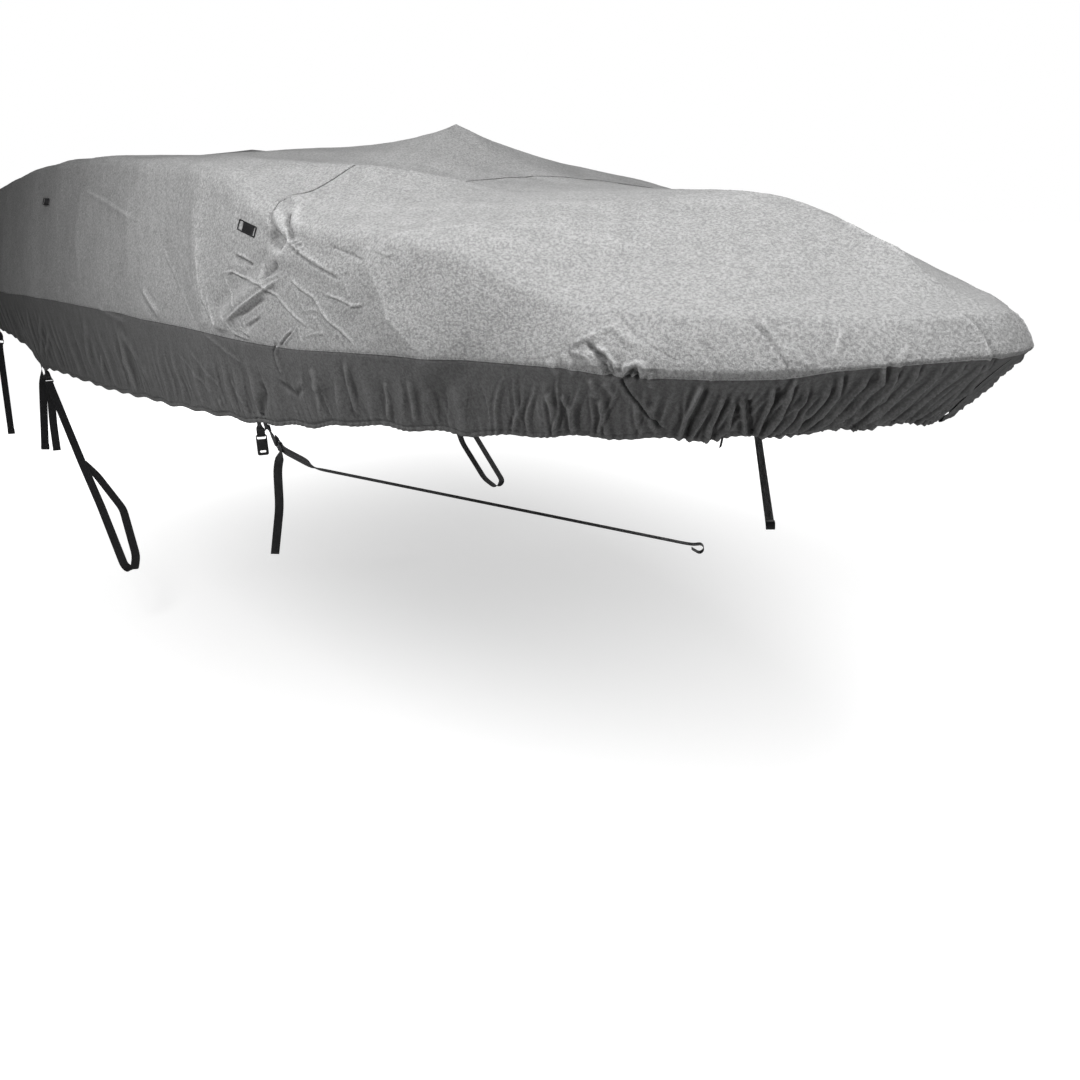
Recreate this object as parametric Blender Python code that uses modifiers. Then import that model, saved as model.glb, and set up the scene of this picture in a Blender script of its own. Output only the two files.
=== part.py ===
"""Fitted cover for a small open boat, in the shape that it takes over the boat.

The cover is hollow: the boat, its trailer and the two poles under the top are left out.
+X runs to the bow, +Y to port and +Z up, in metres. The origin is the cap of the forward
pole, just under the sharp peak that it makes in the cloth.
Stations are measured aft from the bow tip. Heights in the tables are above the rail line,
where the cloth folds over the boat's rail, and the pole cap is CAP_HEIGHT above that line.
"""

import math
from collections import namedtuple

import bmesh
import bpy
from mathutils import Matrix, Vector

# Whole cover
POLE_STATION = 2.13
CAP_HEIGHT = 0.605
CLOTH = 0.002
SEAM_GAP = 0.0010
STEM_GAP = 0.0016
SEAM_DROP = 0.010
CROSS_SEAM_STATION = 1.675
STARBOARD = -1
PORT = 1
MERGE = 0.00001

# Panels: how they are divided, as distances along the rail and shares of their height
SEAM_EASE = 0.015
BOW_GATHERS = 1.00
FORE_GATHERS = 2.00
STERN_TURN = 6.60
PULL_REACH = 0.15
SKIRT_SHARES = (0.0, 0.3, 0.65, 1.0)
WALL_SHARES = (0.0, 0.35, 0.7)
TOP_SHARES = (0.0, 0.12, 0.28, 0.48, 0.73, 1.0)

# Webbing, and the links and clips that hold it
WEB_THICK = 0.0016
FORE_WEB = 0.026
AFT_WEB = 0.038
FIT_GAP = 0.0008
SEWN_LENGTH = 0.030
SEWN_FREE = 0.016
EYE_REACH = 0.020
EYE_CLOSE = 0.40
EYE_RADIUS = 0.0054
LINK_LENGTH = 0.028
LINK_BAR = 0.0035
LINK_PLAY = 0.002

# Strap sets of the starboard side: station, offset and height of each place that they
# pass through. The ties end in an eye where the left-out trailer holds them.
FORE_HEM = 1.785
FORE_LINK = (1.705, 0.953, -0.322)
FORE_TAIL = ((1.720, 1.000, -0.668), (1.672, 0.985, -0.505), (1.685, 0.972, -0.385))
FORE_TURN = (1.545, 0.931, -0.353)
FORE_KINK = (1.505, 0.925, -0.362)
FORE_POST = (0.733, 0.150, -0.574)
POST_EYE = 0.013
CLIP_HEM = 1.825
CLIP_DROP = 0.028
CLIP_WEB = 0.025
CLIP_SIZE = (0.066, 0.034, 0.004)
CLIP_SLOT = 0.011
CLIP_MOUTH = (0.021, 0.007, 0.018)
AFT_HEM = 4.60
AFT_LINK = (4.530, 1.080, -0.485)
AFT_DROP_HEM = 4.68
AFT_DROP_TWIST = (4.645, 1.095, -0.540)
AFT_DROP = (4.600, 1.148, -0.845)
AFT_TAIL = ((4.450, 1.118, -0.840), (4.465, 1.108, -0.700), (4.490, 1.090, -0.570))
AFT_BEAM = (
    (4.068, 1.080, -0.822), (3.793, 1.080, -0.997), (3.508, 1.080, -1.228), (3.520, 1.040, -1.262),
    (3.590, 1.005, -1.215), (3.786, 0.985, -1.030), (3.980, 1.040, -0.885), (4.060, 1.074, -0.834),
)
STERN_HEM = 5.95
STERN_LINK = (5.940, 1.084, -0.420)
STERN_DROP = (5.840, 1.140, -0.980)

# Flat sliders on the walls: where each lies, as a share of the wall's height, how far its
# fore end dips, and how far its middle stands off the cloth on either side
Slider = namedtuple("Slider", "name station share dip starboard port")
SLIDERS = (
    Slider("fore_slider", 1.794, 0.785, -0.08, 0.0015, 0.0018),
    Slider("aft_slider", 4.080, 0.715, 0.05, 0.0018, 0.0018),
)
SLIDER_SIZE = (0.114, 0.032, 0.003)
SLIDER_SLOTS = ((-0.038, 0.024), (0.047, 0.010))
SLIDER_SPAN = 0.050

# Ribs of the cover, from the bow tip round the side to the middle of the stern.
# wall_height and wall_lean place the upper edge above and inboard of the rail,
# skirt_drop and skirt_tuck place the hem below and inboard of it.
Rib = namedtuple("Rib", "station half_beam rail wall_height wall_lean skirt_drop skirt_tuck")
RIBS = (
    Rib(-0.012, 0.000, 0.030, 0.084, 0.050, 0.168, 0.160),
    Rib(-0.004, 0.050, 0.030, 0.085, 0.050, 0.168, 0.157),
    Rib(0.022, 0.116, 0.030, 0.086, 0.053, 0.167, 0.150),
    Rib(0.097, 0.248, 0.025, 0.087, 0.060, 0.162, 0.134),
    Rib(0.210, 0.400, 0.015, 0.096, 0.060, 0.157, 0.108),
    Rib(0.360, 0.550, 0.011, 0.106, 0.060, 0.162, 0.085),
    Rib(0.620, 0.700, 0.011, 0.123, 0.060, 0.172, 0.070),
    Rib(0.990, 0.830, 0.010, 0.243, 0.060, 0.203, 0.055),
    Rib(1.250, 0.905, 0.002, 0.285, 0.065, 0.207, 0.050),
    Rib(1.560, 0.970, -0.008, 0.320, 0.070, 0.240, 0.045),
    Rib(2.080, 1.035, 0.004, 0.455, 0.130, 0.292, 0.045),
    Rib(2.700, 1.075, 0.004, 0.508, 0.165, 0.330, 0.045),
    Rib(3.500, 1.105, -0.005, 0.562, 0.165, 0.366, 0.045),
    Rib(4.500, 1.125, -0.030, 0.578, 0.160, 0.376, 0.045),
    Rib(5.050, 1.125, -0.050, 0.570, 0.155, 0.296, 0.045),
    Rib(5.600, 1.125, -0.062, 0.548, 0.155, 0.270, 0.045),
    Rib(6.200, 1.115, -0.068, 0.512, 0.170, 0.262, 0.045),
    Rib(6.500, 1.000, -0.070, 0.470, 0.230, 0.260, 0.045),
    Rib(6.600, 0.750, -0.070, 0.445, 0.270, 0.260, 0.045),
    Rib(6.600, 0.380, -0.070, 0.435, 0.280, 0.260, 0.045),
    Rib(6.600, 0.000, -0.070, 0.435, 0.280, 0.260, 0.045),
)

# Height of the middle of the top, without what the poles lift, and how full the top is
# beside it: 1 is straight from the middle to the edge, and more is rounder
Middle = namedtuple("Middle", "station height crown")
MIDDLES = (
    Middle(0.04, 0.110, 1.0), Middle(0.22, 0.199, 1.05), Middle(0.40, 0.266, 1.15),
    Middle(0.55, 0.314, 1.25), Middle(0.70, 0.349, 1.35), Middle(0.85, 0.356, 1.7),
    Middle(1.00, 0.356, 2.2), Middle(1.35, 0.352, 2.6), Middle(1.60, 0.356, 2.6),
    Middle(2.13, 0.425, 2.6), Middle(2.70, 0.510, 2.3), Middle(3.40, 0.532, 2.4),
    Middle(4.10, 0.545, 2.6), Middle(4.80, 0.535, 2.6), Middle(5.70, 0.515, 2.6),
    Middle(6.32, 0.365, 2.6),
)

# Poles under the top: each lifts the cloth to a point
Pole = namedtuple("Pole", "station height reach")
POLES = (Pole(POLE_STATION, CAP_HEIGHT + 0.004, 0.42), Pole(4.10, 0.626, 0.48))

# Crest that the cloth makes over each console, from its aft end; port stands lower
Crest = namedtuple("Crest", "station offset starboard port")
CRESTS = (
    Crest(2.60, 0.83, 0.518, 0.470), Crest(2.28, 0.78, 0.514, 0.425),
    Crest(1.95, 0.72, 0.492, 0.385), Crest(1.62, 0.61, 0.458, 0.352),
    Crest(1.47, 0.43, 0.414, 0.352), Crest(1.38, 0.28, 0.372, 0.352),
)
CREST_WIDTH = 0.13
CREST_ROUND = 0.02

# The port wall stands lower than the starboard one near the bow tip and beside the console
Dip = namedtuple("Dip", "station depth reach")
PORT_DIPS = (Dip(0.27, 0.014, 0.08), Dip(2.20, 0.065, 0.55))
DIP_START = 0.12

# The ribs of the top run to these stations on the middle line
SPINE_BOW = 0.30
SPINE_STERN = 6.05
FAN_BOW_END = 1.00
FAN_STERN_START = 5.50

# How the surface bends between its lines
PLAN_STEP = 0.05
TUCK_POWER = 1.2
STEM_POWER = 0.35
STEM_FADE = 0.25
STEM_SHARE = 0.6
LEAN_POWER = 1.3
EDGE_HOLD = 8

# Gathers of the skirt, from the elastic in its hem
GATHER_BOW = 0.010
GATHER_AFT = 0.005
GATHER_WAVE = 0.45
GATHER_EXTRA = 8.0
GATHER_FADE = 0.70
GATHER_START = 0.15
GATHER_CALM = 0.15
SCALLOP = 0.004
SCALLOP_TURNS = 31.0

# Where the straps pull the hem down
Pull = namedtuple("Pull", "station depth width")
PULLS = (Pull(1.86, 0.008, 0.08), Pull(4.61, 0.030, 0.10), Pull(5.95, 0.010, 0.10))

# Main folds of the starboard wall, each from one station and height above the rail to
# another; a fold with a depth below 0 is a trough
Fold = namedtuple("Fold", "station height end_station end_height width depth")
FOLDS = (
    Fold(1.57, 0.225, 1.88, 0.025, 0.036, 0.014),
    Fold(1.68, 0.210, 1.92, 0.070, 0.030, -0.008),
    Fold(1.60, 0.260, 1.32, 0.180, 0.030, 0.006),
    Fold(2.17, 0.375, 2.02, 0.025, 0.045, 0.007),
    Fold(2.42, 0.235, 2.07, 0.020, 0.045, -0.005),
    Fold(0.60, 0.060, 0.48, 0.030, 0.040, 0.014),
)

# Bunches of cloth on the top
Bump = namedtuple("Bump", "side station offset width height")
BUMPS = (Bump(STARBOARD, 1.64, 0.870, 0.060, 0.028),)


def between(keys, values, at):
    """Value between the rows of a table, on a curve that doesn't overshoot them."""
    last = len(keys) - 1
    at = min(max(at, keys[0]), keys[last])
    low = 0
    while low < last - 1 and keys[low + 1] < at:
        low += 1

    def rise(index):
        return (values[index + 1] - values[index]) / (keys[index + 1] - keys[index])

    def slope(index):
        if index in (0, last):
            return rise(max(index - 1, 0))
        before, after = rise(index - 1), rise(index)
        return 2 * before * after / (before + after) if before * after > 0 else 0.0

    span = keys[low + 1] - keys[low]
    t = (at - keys[low]) / span
    lift = (3 - 2 * t) * t * t
    return (
        values[low] * (1 - lift)
        + values[low + 1] * lift
        + span * (t * (1 - t) ** 2 * slope(low) - t * t * (1 - t) * slope(low + 1))
    )


def rail_reaches():
    """Distance of each rib along the rail from the bow tip, in plan."""
    reaches = [0.0]
    for before, rib in zip(RIBS, RIBS[1:]):
        step = math.hypot(rib.station - before.station, rib.half_beam - before.half_beam)
        reaches.append(reaches[-1] + step)
    return reaches


REACHES = rail_reaches()


def along_rail(column, reach):
    """One column of the rib table at a distance along the rail."""
    return between(REACHES, [getattr(rib, column) for rib in RIBS], reach)


def plan(reach):
    """Station and offset of the rail at a distance along it, mirrored past either end."""
    total = REACHES[-1]
    side = 1
    if reach < 0:
        reach, side = -reach, -1
    elif reach > total:
        reach, side = 2 * total - reach, -1
    return along_rail("station", reach), side * along_rail("half_beam", reach)


def inboard(reach):
    """Level direction from the rail into the boat, as (aft, towards the middle line)."""
    ahead = plan(reach + PLAN_STEP)
    behind = plan(reach - PLAN_STEP)
    run, spread = ahead[0] - behind[0], ahead[1] - behind[1]
    length = math.hypot(run, spread)
    return spread / length, -run / length


def place(station, offset, height, side):
    """Point in the cover's frame."""
    return Vector((POLE_STATION - station, side * offset, height - CAP_HEIGHT))


def outward(side):
    """Level direction away from the boat on one side."""
    return Vector((0.0, side, 0.0))


def direction(aft, out, up, side):
    """Unit direction from its parts aft, outboard and up."""
    return Vector((-aft, side * out, up)).normalized()


def wall_height(reach, side):
    """Height of the wall's upper edge above the rail."""
    height = along_rail("wall_height", reach)
    if side == PORT:
        for dip in PORT_DIPS:
            away = (along_rail("station", reach) - dip.station) / dip.reach
            height -= dip.depth * math.exp(-away * away) * min(reach / DIP_START, 1.0)
    return height


def gather(reach, side):
    """How far a gather stands out at the hem, close together at the bow and wide aft."""
    turns = reach / GATHER_WAVE + GATHER_EXTRA * (1 - math.exp(-reach / GATHER_FADE))
    swell = 0.7 + 0.3 * math.sin(5.1 * reach + side)
    depth = GATHER_AFT + (GATHER_BOW - GATHER_AFT) * math.exp(-reach / GATHER_FADE)
    station = along_rail("station", reach)
    for pull in PULLS:
        depth *= 1 - math.exp(-(((station - pull.station) / GATHER_CALM) ** 4))
    return depth * swell * math.sin(2 * math.pi * turns + side)


def hem_drop(reach, side):
    """Depth of the hem below the rail, pulled down to a point at each strap."""
    drop = along_rail("skirt_drop", reach)
    station = along_rail("station", reach)
    for strap in PULLS:
        drop += strap.depth / (1 + ((station - strap.station) / strap.width) ** 2)
    return drop + SCALLOP * math.sin(SCALLOP_TURNS * reach + side)


def hang(reach, side, drop):
    """Point of the skirt at a depth below the rail."""
    station, offset = plan(reach)
    aft, inward = inboard(reach)
    share = drop / hem_drop(reach, side)
    power = TUCK_POWER - STEM_POWER * math.exp(-reach / STEM_FADE)
    shift = along_rail("skirt_tuck", reach) * share**power
    shift -= gather(reach, side) * max(share - GATHER_START, 0.0)
    height = along_rail("rail", reach) - drop
    offset = max(offset + inward * shift, offset * STEM_SHARE)
    return place(station + aft * shift, offset, height, side)


def skirt_point(reach, side, share):
    """Point of a skirt, from its seam at share 0 to its hem at 1."""
    seam = SEAM_DROP + SEAM_GAP
    return hang(reach, side, seam + (hem_drop(reach, side) - seam) * share)


def band_point(reach, side, share):
    """Point of the strip that the top turns down over the rail, from its seam at 0."""
    return hang(reach, side, SEAM_DROP * (1 - share))


def fold_height(station, height):
    """How far the folds of the starboard wall stand out at a station and a height."""
    total = 0.0
    for fold in FOLDS:
        run, rise = fold.end_station - fold.station, fold.end_height - fold.height
        along = (station - fold.station) * run + (height - fold.height) * rise
        along = min(max(along / (run * run + rise * rise), 0.0), 1.0)
        away = math.hypot(
            station - fold.station - along * run, height - fold.height - along * rise
        )
        total += fold.depth * math.exp(-((away / fold.width) ** 2))
    return total


def wall_point(reach, side, share):
    """Point of the wall, from the rail at share 0 to its upper edge at 1."""
    station, offset = plan(reach)
    aft, inward = inboard(reach)
    lean = along_rail("wall_lean", reach) * share**LEAN_POWER
    rise = wall_height(reach, side) * share
    if side == STARBOARD:
        lean -= fold_height(station, rise)
    height = along_rail("rail", reach) + rise
    return place(station + aft * lean, offset + inward * lean, height, side)


def edge(reach, side):
    """Station, offset and height of the wall's upper edge, without folds."""
    station, offset = plan(reach)
    aft, inward = inboard(reach)
    lean = along_rail("wall_lean", reach)
    height = along_rail("rail", reach) + wall_height(reach, side)
    return station + aft * lean, offset + inward * lean, height


def spine_station(station):
    """Where the rib that leaves the edge at a station meets the middle line."""
    if station < FAN_BOW_END:
        tip = RIBS[0].station + RIBS[0].wall_lean
        share = (station - tip) / (FAN_BOW_END - tip)
        return SPINE_BOW + (FAN_BOW_END - SPINE_BOW) * share
    if station > FAN_STERN_START:
        end = RIBS[-1].station - RIBS[-1].wall_lean
        share = (station - FAN_STERN_START) / (end - FAN_STERN_START)
        return FAN_STERN_START + (SPINE_STERN - FAN_STERN_START) * share
    return station


def along_middle(column, station):
    """One column of the middle line's table at a station."""
    stations = [row.station for row in MIDDLES]
    return between(stations, [getattr(row, column) for row in MIDDLES], station)


def crest_lift(station, offset, height, side):
    """How far the crest over a console lifts the top."""
    nearest, target = 1.0, height
    for first, last in zip(CRESTS, CRESTS[1:]):
        run, spread = last.station - first.station, last.offset - first.offset
        share = (station - first.station) * run + (offset - first.offset) * spread
        share = min(max(share / (run * run + spread * spread), 0.0), 1.0)
        away = math.hypot(
            station - first.station - share * run, offset - first.offset - share * spread
        )
        if away < nearest:
            nearest = away
            heights = [row.starboard if side == STARBOARD else row.port for row in (first, last)]
            target = heights[0] + share * (heights[1] - heights[0])
    fall = (math.hypot(nearest, CREST_ROUND) - CREST_ROUND) / CREST_WIDTH
    return max(target - height, 0.0) * math.exp(-fall)


def top_point(reach, side, share):
    """Point of the top, from the wall's upper edge at share 0 to the middle line at 1."""
    edge_station, edge_offset, edge_height = edge(reach, side)
    station = edge_station + (spine_station(edge_station) - edge_station) * share
    offset = edge_offset * (1 - share)
    crown = 1 - (1 - share) ** along_middle("crown", station)
    height = edge_height + (along_middle("height", station) - edge_height) * crown
    free = 1 - (1 - share) ** EDGE_HOLD
    for pole in POLES:
        away = math.hypot(station - pole.station, offset)
        lift = pole.height - along_middle("height", pole.station)
        height += lift * math.exp(-away / pole.reach) * free
    height += crest_lift(station, offset, height, side) * free
    for bump in BUMPS:
        if side == bump.side:
            away = math.hypot(station - bump.station, offset - bump.offset) / bump.width
            height += bump.height * math.exp(-away * away)
    return place(station, offset, height, side)


def rail_station(reach):
    """Station of the rail at a distance along it."""
    return plan(reach)[0]


def edge_station(reach):
    """Station of the wall's upper edge at a distance along the rail."""
    return edge(reach, STARBOARD)[0]


def reach_at(station, line):
    """Distance along the rail at which a line passes a station."""
    low, high = 0.0, STERN_TURN
    for _ in range(40):
        middle = (low + high) / 2
        if line(middle) < station:
            low = middle
        else:
            high = middle
    return low


def steps(start, end, count):
    """Even steps from start to end, both included."""
    return [start + (end - start) * index / count for index in range(count + 1)]


def columns(*runs):
    """Distances along the rail of a panel's columns, from runs of even steps."""
    reaches = [runs[0][0]]
    for start, end, count in runs:
        reaches.extend(steps(start, end, count)[1:])
    return reaches


def finish(name, colour, roughness, metallic=0.0):
    """Material with the colour, roughness and metallic value of one kind of piece."""
    material = bpy.data.materials.new(name)
    material.use_nodes = True
    shader = material.node_tree.nodes["Principled BSDF"]
    shader.inputs["Base Color"].default_value = (*colour, 1.0)
    shader.inputs["Roughness"].default_value = roughness
    shader.inputs["Metallic"].default_value = metallic
    return material


def top_cloth():
    """Pale grey coated polyester of the top and the walls."""
    return finish("top_cloth", (0.42, 0.42, 0.42), 0.85)


def skirt_cloth():
    """Dark grey coated polyester of the skirts."""
    return finish("skirt_cloth", (0.075, 0.075, 0.077), 0.85)


def webbing_weave():
    """Black polypropylene webbing."""
    return finish("webbing_weave", (0.012, 0.012, 0.013), 0.7)


def buckle_plastic():
    """Black moulded plastic of the buckles and sliders."""
    return finish("buckle_plastic", (0.015, 0.015, 0.016), 0.4)


def new_object(name, data, material, parent):
    """Object of one piece, in the cover's collection and under its empty."""
    data.materials.append(material)
    piece = bpy.data.objects.new(name, data)
    piece.parent = parent
    COVER.objects.link(piece)
    return piece


def grid_mesh(name, columns_at, rows, point):
    """Grid bent into a sheet: point gives the place of each column and row."""
    grid = bmesh.new()
    last_column, last_row = len(columns_at) - 1, len(rows) - 1
    bmesh.ops.create_grid(grid, x_segments=last_column, y_segments=last_row, size=0.5)
    for vert in grid.verts:
        column = round((vert.co.x + 0.5) * last_column)
        row = round((vert.co.y + 0.5) * last_row)
        vert.co = point(columns_at[column], rows[row])
    bmesh.ops.remove_doubles(grid, verts=grid.verts, dist=MERGE)
    mesh = bpy.data.meshes.new(name)
    grid.to_mesh(mesh)
    grid.free()
    mesh.shade_smooth()
    return mesh


def thicken(piece, thickness, offset):
    """Give a sheet its thickness, inward at offset -1 and to both sides at 0."""
    solid = piece.modifiers.new("thickness", "SOLIDIFY")
    solid.thickness = thickness
    solid.offset = offset


def panel(name, columns_at, rows, material, parent):
    """Cloth panel: each row is a surface function, a side and a share."""
    mesh = grid_mesh(
        name, columns_at, rows, lambda reach, row: row[0](reach, row[1], row[2])
    )
    thicken(new_object(name, mesh, material, parent), CLOTH, -1.0)


def top_rows():
    """Rows of the top from its port seam over the middle line to its starboard seam."""
    starboard = [(top_point, STARBOARD, share) for share in reversed(TOP_SHARES)]
    starboard += [(wall_point, STARBOARD, share) for share in reversed(WALL_SHARES)]
    starboard.append((band_point, STARBOARD, 0.0))
    port = [(point, PORT, share) for point, _, share in reversed(starboard[1:])]
    return port + starboard


def skirt_rows(side):
    """Rows of a skirt, so that its outer face looks out on either side."""
    rows = [(skirt_point, side, share) for share in SKIRT_SHARES]
    return rows if side == STARBOARD else list(reversed(rows))


def build_top(parent):
    """The two panels of the top, which meet at the cross seam."""
    seam = reach_at(CROSS_SEAM_STATION, edge_station)
    fore_pole, aft_pole = (reach_at(pole.station, edge_station) for pole in POLES)
    before, after = seam - SEAM_GAP / 2, seam + SEAM_GAP / 2
    bow = columns((0.0, before - SEAM_EASE, 30), (before - SEAM_EASE, before, 1))
    stern = columns(
        (after, after + SEAM_EASE, 1),
        (after + SEAM_EASE, fore_pole, 8),
        (fore_pole, aft_pole, 11),
        (aft_pole, STERN_TURN, 7),
        (STERN_TURN, REACHES[-1], 9),
    )
    cloth = top_cloth()
    panel("top_bow", bow, top_rows(), cloth, parent)
    panel("top_aft", stern, top_rows(), cloth, parent)


def with_pulls(reaches):
    """A skirt's columns, with close ones where a strap pulls the hem down."""
    pulls = [reach_at(pull.station, rail_station) for pull in PULLS]
    kept = [reach for reach in reaches if min(abs(reach - pull) for pull in pulls) > PULL_REACH]
    for pull in pulls:
        kept.extend(steps(pull - PULL_REACH, pull + PULL_REACH, 6))
    return sorted(kept)


def build_skirts(parent):
    """The two skirts, which meet at the middle of the bow and of the stern."""
    cloth = skirt_cloth()
    start, end = STEM_GAP, REACHES[-1] - SEAM_GAP
    for side, name, detail in ((STARBOARD, "starboard", 2), (PORT, "port", 1)):
        along = columns(
            (start, BOW_GATHERS, 22 * detail),
            (BOW_GATHERS, FORE_GATHERS, 12 * detail),
            (FORE_GATHERS, end, 18 * detail),
        )
        panel(f"skirt_{name}", with_pulls(along), skirt_rows(side), cloth, parent)


def webbing(name, stops, width, material, parent):
    """Flat webbing through stops, each a point and the direction of its width there."""
    last = len(stops) - 1
    widths = [stops[0][1]]
    for _, across in stops[1:]:
        widths.append(across if across.dot(widths[-1]) > 0 else -across)

    def corner(index, edge_side):
        """One edge of the webbing at a stop, square to the run there."""
        point, across = stops[index][0], widths[index]
        tangent = stops[min(index + 1, last)][0] - stops[max(index - 1, 0)][0]
        tangent.normalize()
        level = (across - tangent * across.dot(tangent)).normalized()
        return point + level * (edge_side * width / 2)

    mesh = grid_mesh(name, list(range(last + 1)), (-1, 1), corner)
    thicken(new_object(name, mesh, material, parent), WEB_THICK, 0.0)


def turn_round(bar, away, out, radius):
    """Stops of a strap round a bar, over the side that faces away from the strap."""
    axis = away.cross(out)
    points = (
        bar - away * EYE_REACH + out * radius * EYE_CLOSE,
        bar + out * radius,
        bar + away * radius,
        bar - out * radius,
        bar - away * EYE_REACH - out * radius * EYE_CLOSE,
    )
    return [(point, axis) for point in points]


def frame_plate(name, size, slots, material, parent):
    """Flat plate with slots, each slot a centre along the plate and its own size."""
    outline = bpy.data.curves.new(name, "CURVE")
    outline.dimensions = "2D"
    outline.fill_mode = "BOTH"
    outline.extrude = size[2] / 2
    for centre, length, width in [(0.0, size[0], size[1]), *slots]:
        spline = outline.splines.new("POLY")
        spline.use_cyclic_u = True
        spline.points.add(3)
        corners = ((-1, -1), (1, -1), (1, 1), (-1, 1))
        for point, (along, across) in zip(spline.points, corners):
            point.co = (centre + along * length / 2, across * width / 2, 0.0, 1.0)
    return new_object(name, outline, material, parent)


def turn_to(piece, centre, along, across):
    """Place a plate with its local X along one direction and its local Y across it."""
    across = (across - along * across.dot(along)).normalized()
    axes = Matrix((along, across, along.cross(across))).transposed()
    piece.location = centre
    piece.rotation_euler = axes.to_euler()


def link(name, centre, along, across, width, material, parent):
    """Rectangular link between a loop on the hem and the straps below it."""
    slot = LINK_LENGTH - 2 * LINK_BAR
    size = (LINK_LENGTH, width + 2 * LINK_BAR + LINK_PLAY, LINK_BAR)
    slots = [(0.0, slot, width + LINK_PLAY)]
    turn_to(frame_plate(name, size, slots, material, parent), centre, along, across)


def hem_stops(station, side):
    """Stops of the end of a loop that is sewn flat to the inside of the hem."""
    reach = reach_at(station, rail_station)
    drop = hem_drop(reach, side)
    stops = []
    for depth in (drop - SEWN_LENGTH, drop - 0.001, drop + SEWN_FREE):
        point = hang(reach, side, depth)
        along = hang(reach + SEWN_LENGTH, side, depth) - hang(reach - SEWN_LENGTH, side, depth)
        down = hang(reach, side, depth + SEWN_LENGTH) - point
        inner = along.cross(down).normalized()
        if inner.dot(outward(side)) > 0:
            inner.negate()
        stops.append((point + inner * (CLOTH + WEB_THICK / 2 + FIT_GAP), along.normalized()))
    return stops


def loop_and_link(name, hem_station, link_at, across, width, side, finishes, parent):
    """Loop sewn to the hem and the link in it; gives the link's free bar and directions."""
    centre = place(*link_at, side)
    sewn = hem_stops(hem_station, side)
    along = (centre - sewn[-1][0]).normalized()
    across = (across - along * across.dot(along)).normalized()
    out = along.cross(across) * -side
    reach = (LINK_LENGTH - LINK_BAR) / 2
    eye = turn_round(centre - along * reach, along, out, EYE_RADIUS)
    middle = (sewn[-1][0].lerp(eye[0][0], 0.5), sewn[-1][1] + across)
    webbing(f"{name}_loop", sewn + [middle] + eye, width, finishes["web"], parent)
    link(f"{name}_link", centre, along, across, width, finishes["plastic"], parent)
    return centre + along * reach, along, out


def build_fore_set(side, label, finishes, parent):
    """Strap set of the bow: a taut tie to the trailer's post, its tail and a spare clip."""
    name = f"fore_{label}"
    slant = direction(-0.44, 0.0, 0.90, side)
    bar, along, out = loop_and_link(
        name, FORE_HEM, FORE_LINK, slant, FORE_WEB, side, finishes, parent
    )
    facing = direction(0.34, 0.94, 0.0, side)
    edge_on = direction(0.71, -0.70, -0.04, side)
    tail = [(place(*stop, side), facing) for stop in FORE_TAIL]
    kink, post = place(*FORE_KINK, side), place(*FORE_POST, side)
    pull = (post - kink).normalized()
    tie = [(place(*FORE_TURN, side), slant), (kink, edge_on)]
    tie += turn_round(post, pull, pull.cross(edge_on), POST_EYE)
    webbing(
        f"{name}_tie",
        tail + turn_round(bar, -along, out, EYE_RADIUS) + tie,
        FORE_WEB,
        finishes["web"],
        parent,
    )
    build_clip(side, name, finishes, parent)


def build_clip(side, name, finishes, parent):
    """Half of a buckle that hangs open from the hem on its own loop."""
    sewn = hem_stops(CLIP_HEM, side)
    facing = direction(0.34, 0.94, 0.0, side)
    down = direction(0.0, 0.0, -1.0, side)
    out = down.cross(facing)
    bar = sewn[-1][0] + down * CLIP_DROP
    eye = turn_round(bar, down, out, EYE_RADIUS)
    webbing(f"{name}_clip_loop", sewn + eye, CLIP_WEB, finishes["web"], parent)
    slot_at = LINK_BAR + (CLIP_SLOT - CLIP_SIZE[0]) / 2
    slot = (slot_at, CLIP_SLOT, CLIP_WEB + LINK_PLAY)
    clip = frame_plate(f"{name}_clip", CLIP_SIZE, [slot, CLIP_MOUTH], finishes["plastic"], parent)
    centre = bar + down * (CLIP_SIZE[0] / 2 - LINK_BAR / 2)
    turn_to(clip, centre, down, facing)


def build_aft_set(side, label, finishes, parent):
    """Strap set of the side: a drop to the trailer, a long loop round its beam and a tail."""
    name = f"aft_{label}"
    wide = direction(0.0, 1.0, 0.0, side)
    bar, along, out = loop_and_link(
        name, AFT_HEM, AFT_LINK, wide, AFT_WEB, side, finishes, parent
    )
    sewn = hem_stops(AFT_DROP_HEM, side)
    twist = (place(*AFT_DROP_TWIST, side), wide)
    end = place(*AFT_DROP, side)
    pull = (end - twist[0]).normalized()
    eye = turn_round(end, pull, pull.cross(wide), POST_EYE)
    webbing(f"{name}_drop", sewn + [twist] + eye, AFT_WEB, finishes["web"], parent)
    tail = [(place(*stop, side), wide) for stop in AFT_TAIL]
    beam = [(place(*stop, side), wide) for stop in AFT_BEAM]
    tie = tail + turn_round(bar, -along, out, EYE_RADIUS) + beam
    webbing(f"{name}_tie", tie, AFT_WEB, finishes["web"], parent)


def build_stern_set(side, label, finishes, parent):
    """Strap set of the quarter: one strap down to the trailer."""
    name = f"stern_{label}"
    wide = direction(0.0, 1.0, 0.0, side)
    bar, along, out = loop_and_link(
        name, STERN_HEM, STERN_LINK, wide, AFT_WEB, side, finishes, parent
    )
    end = place(*STERN_DROP, side)
    pull = (end - bar).normalized()
    stops = turn_round(bar, -along, out, EYE_RADIUS)
    stops += turn_round(end, pull, pull.cross(wide), POST_EYE)
    webbing(f"{name}_tie", stops, AFT_WEB, finishes["web"], parent)


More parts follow.
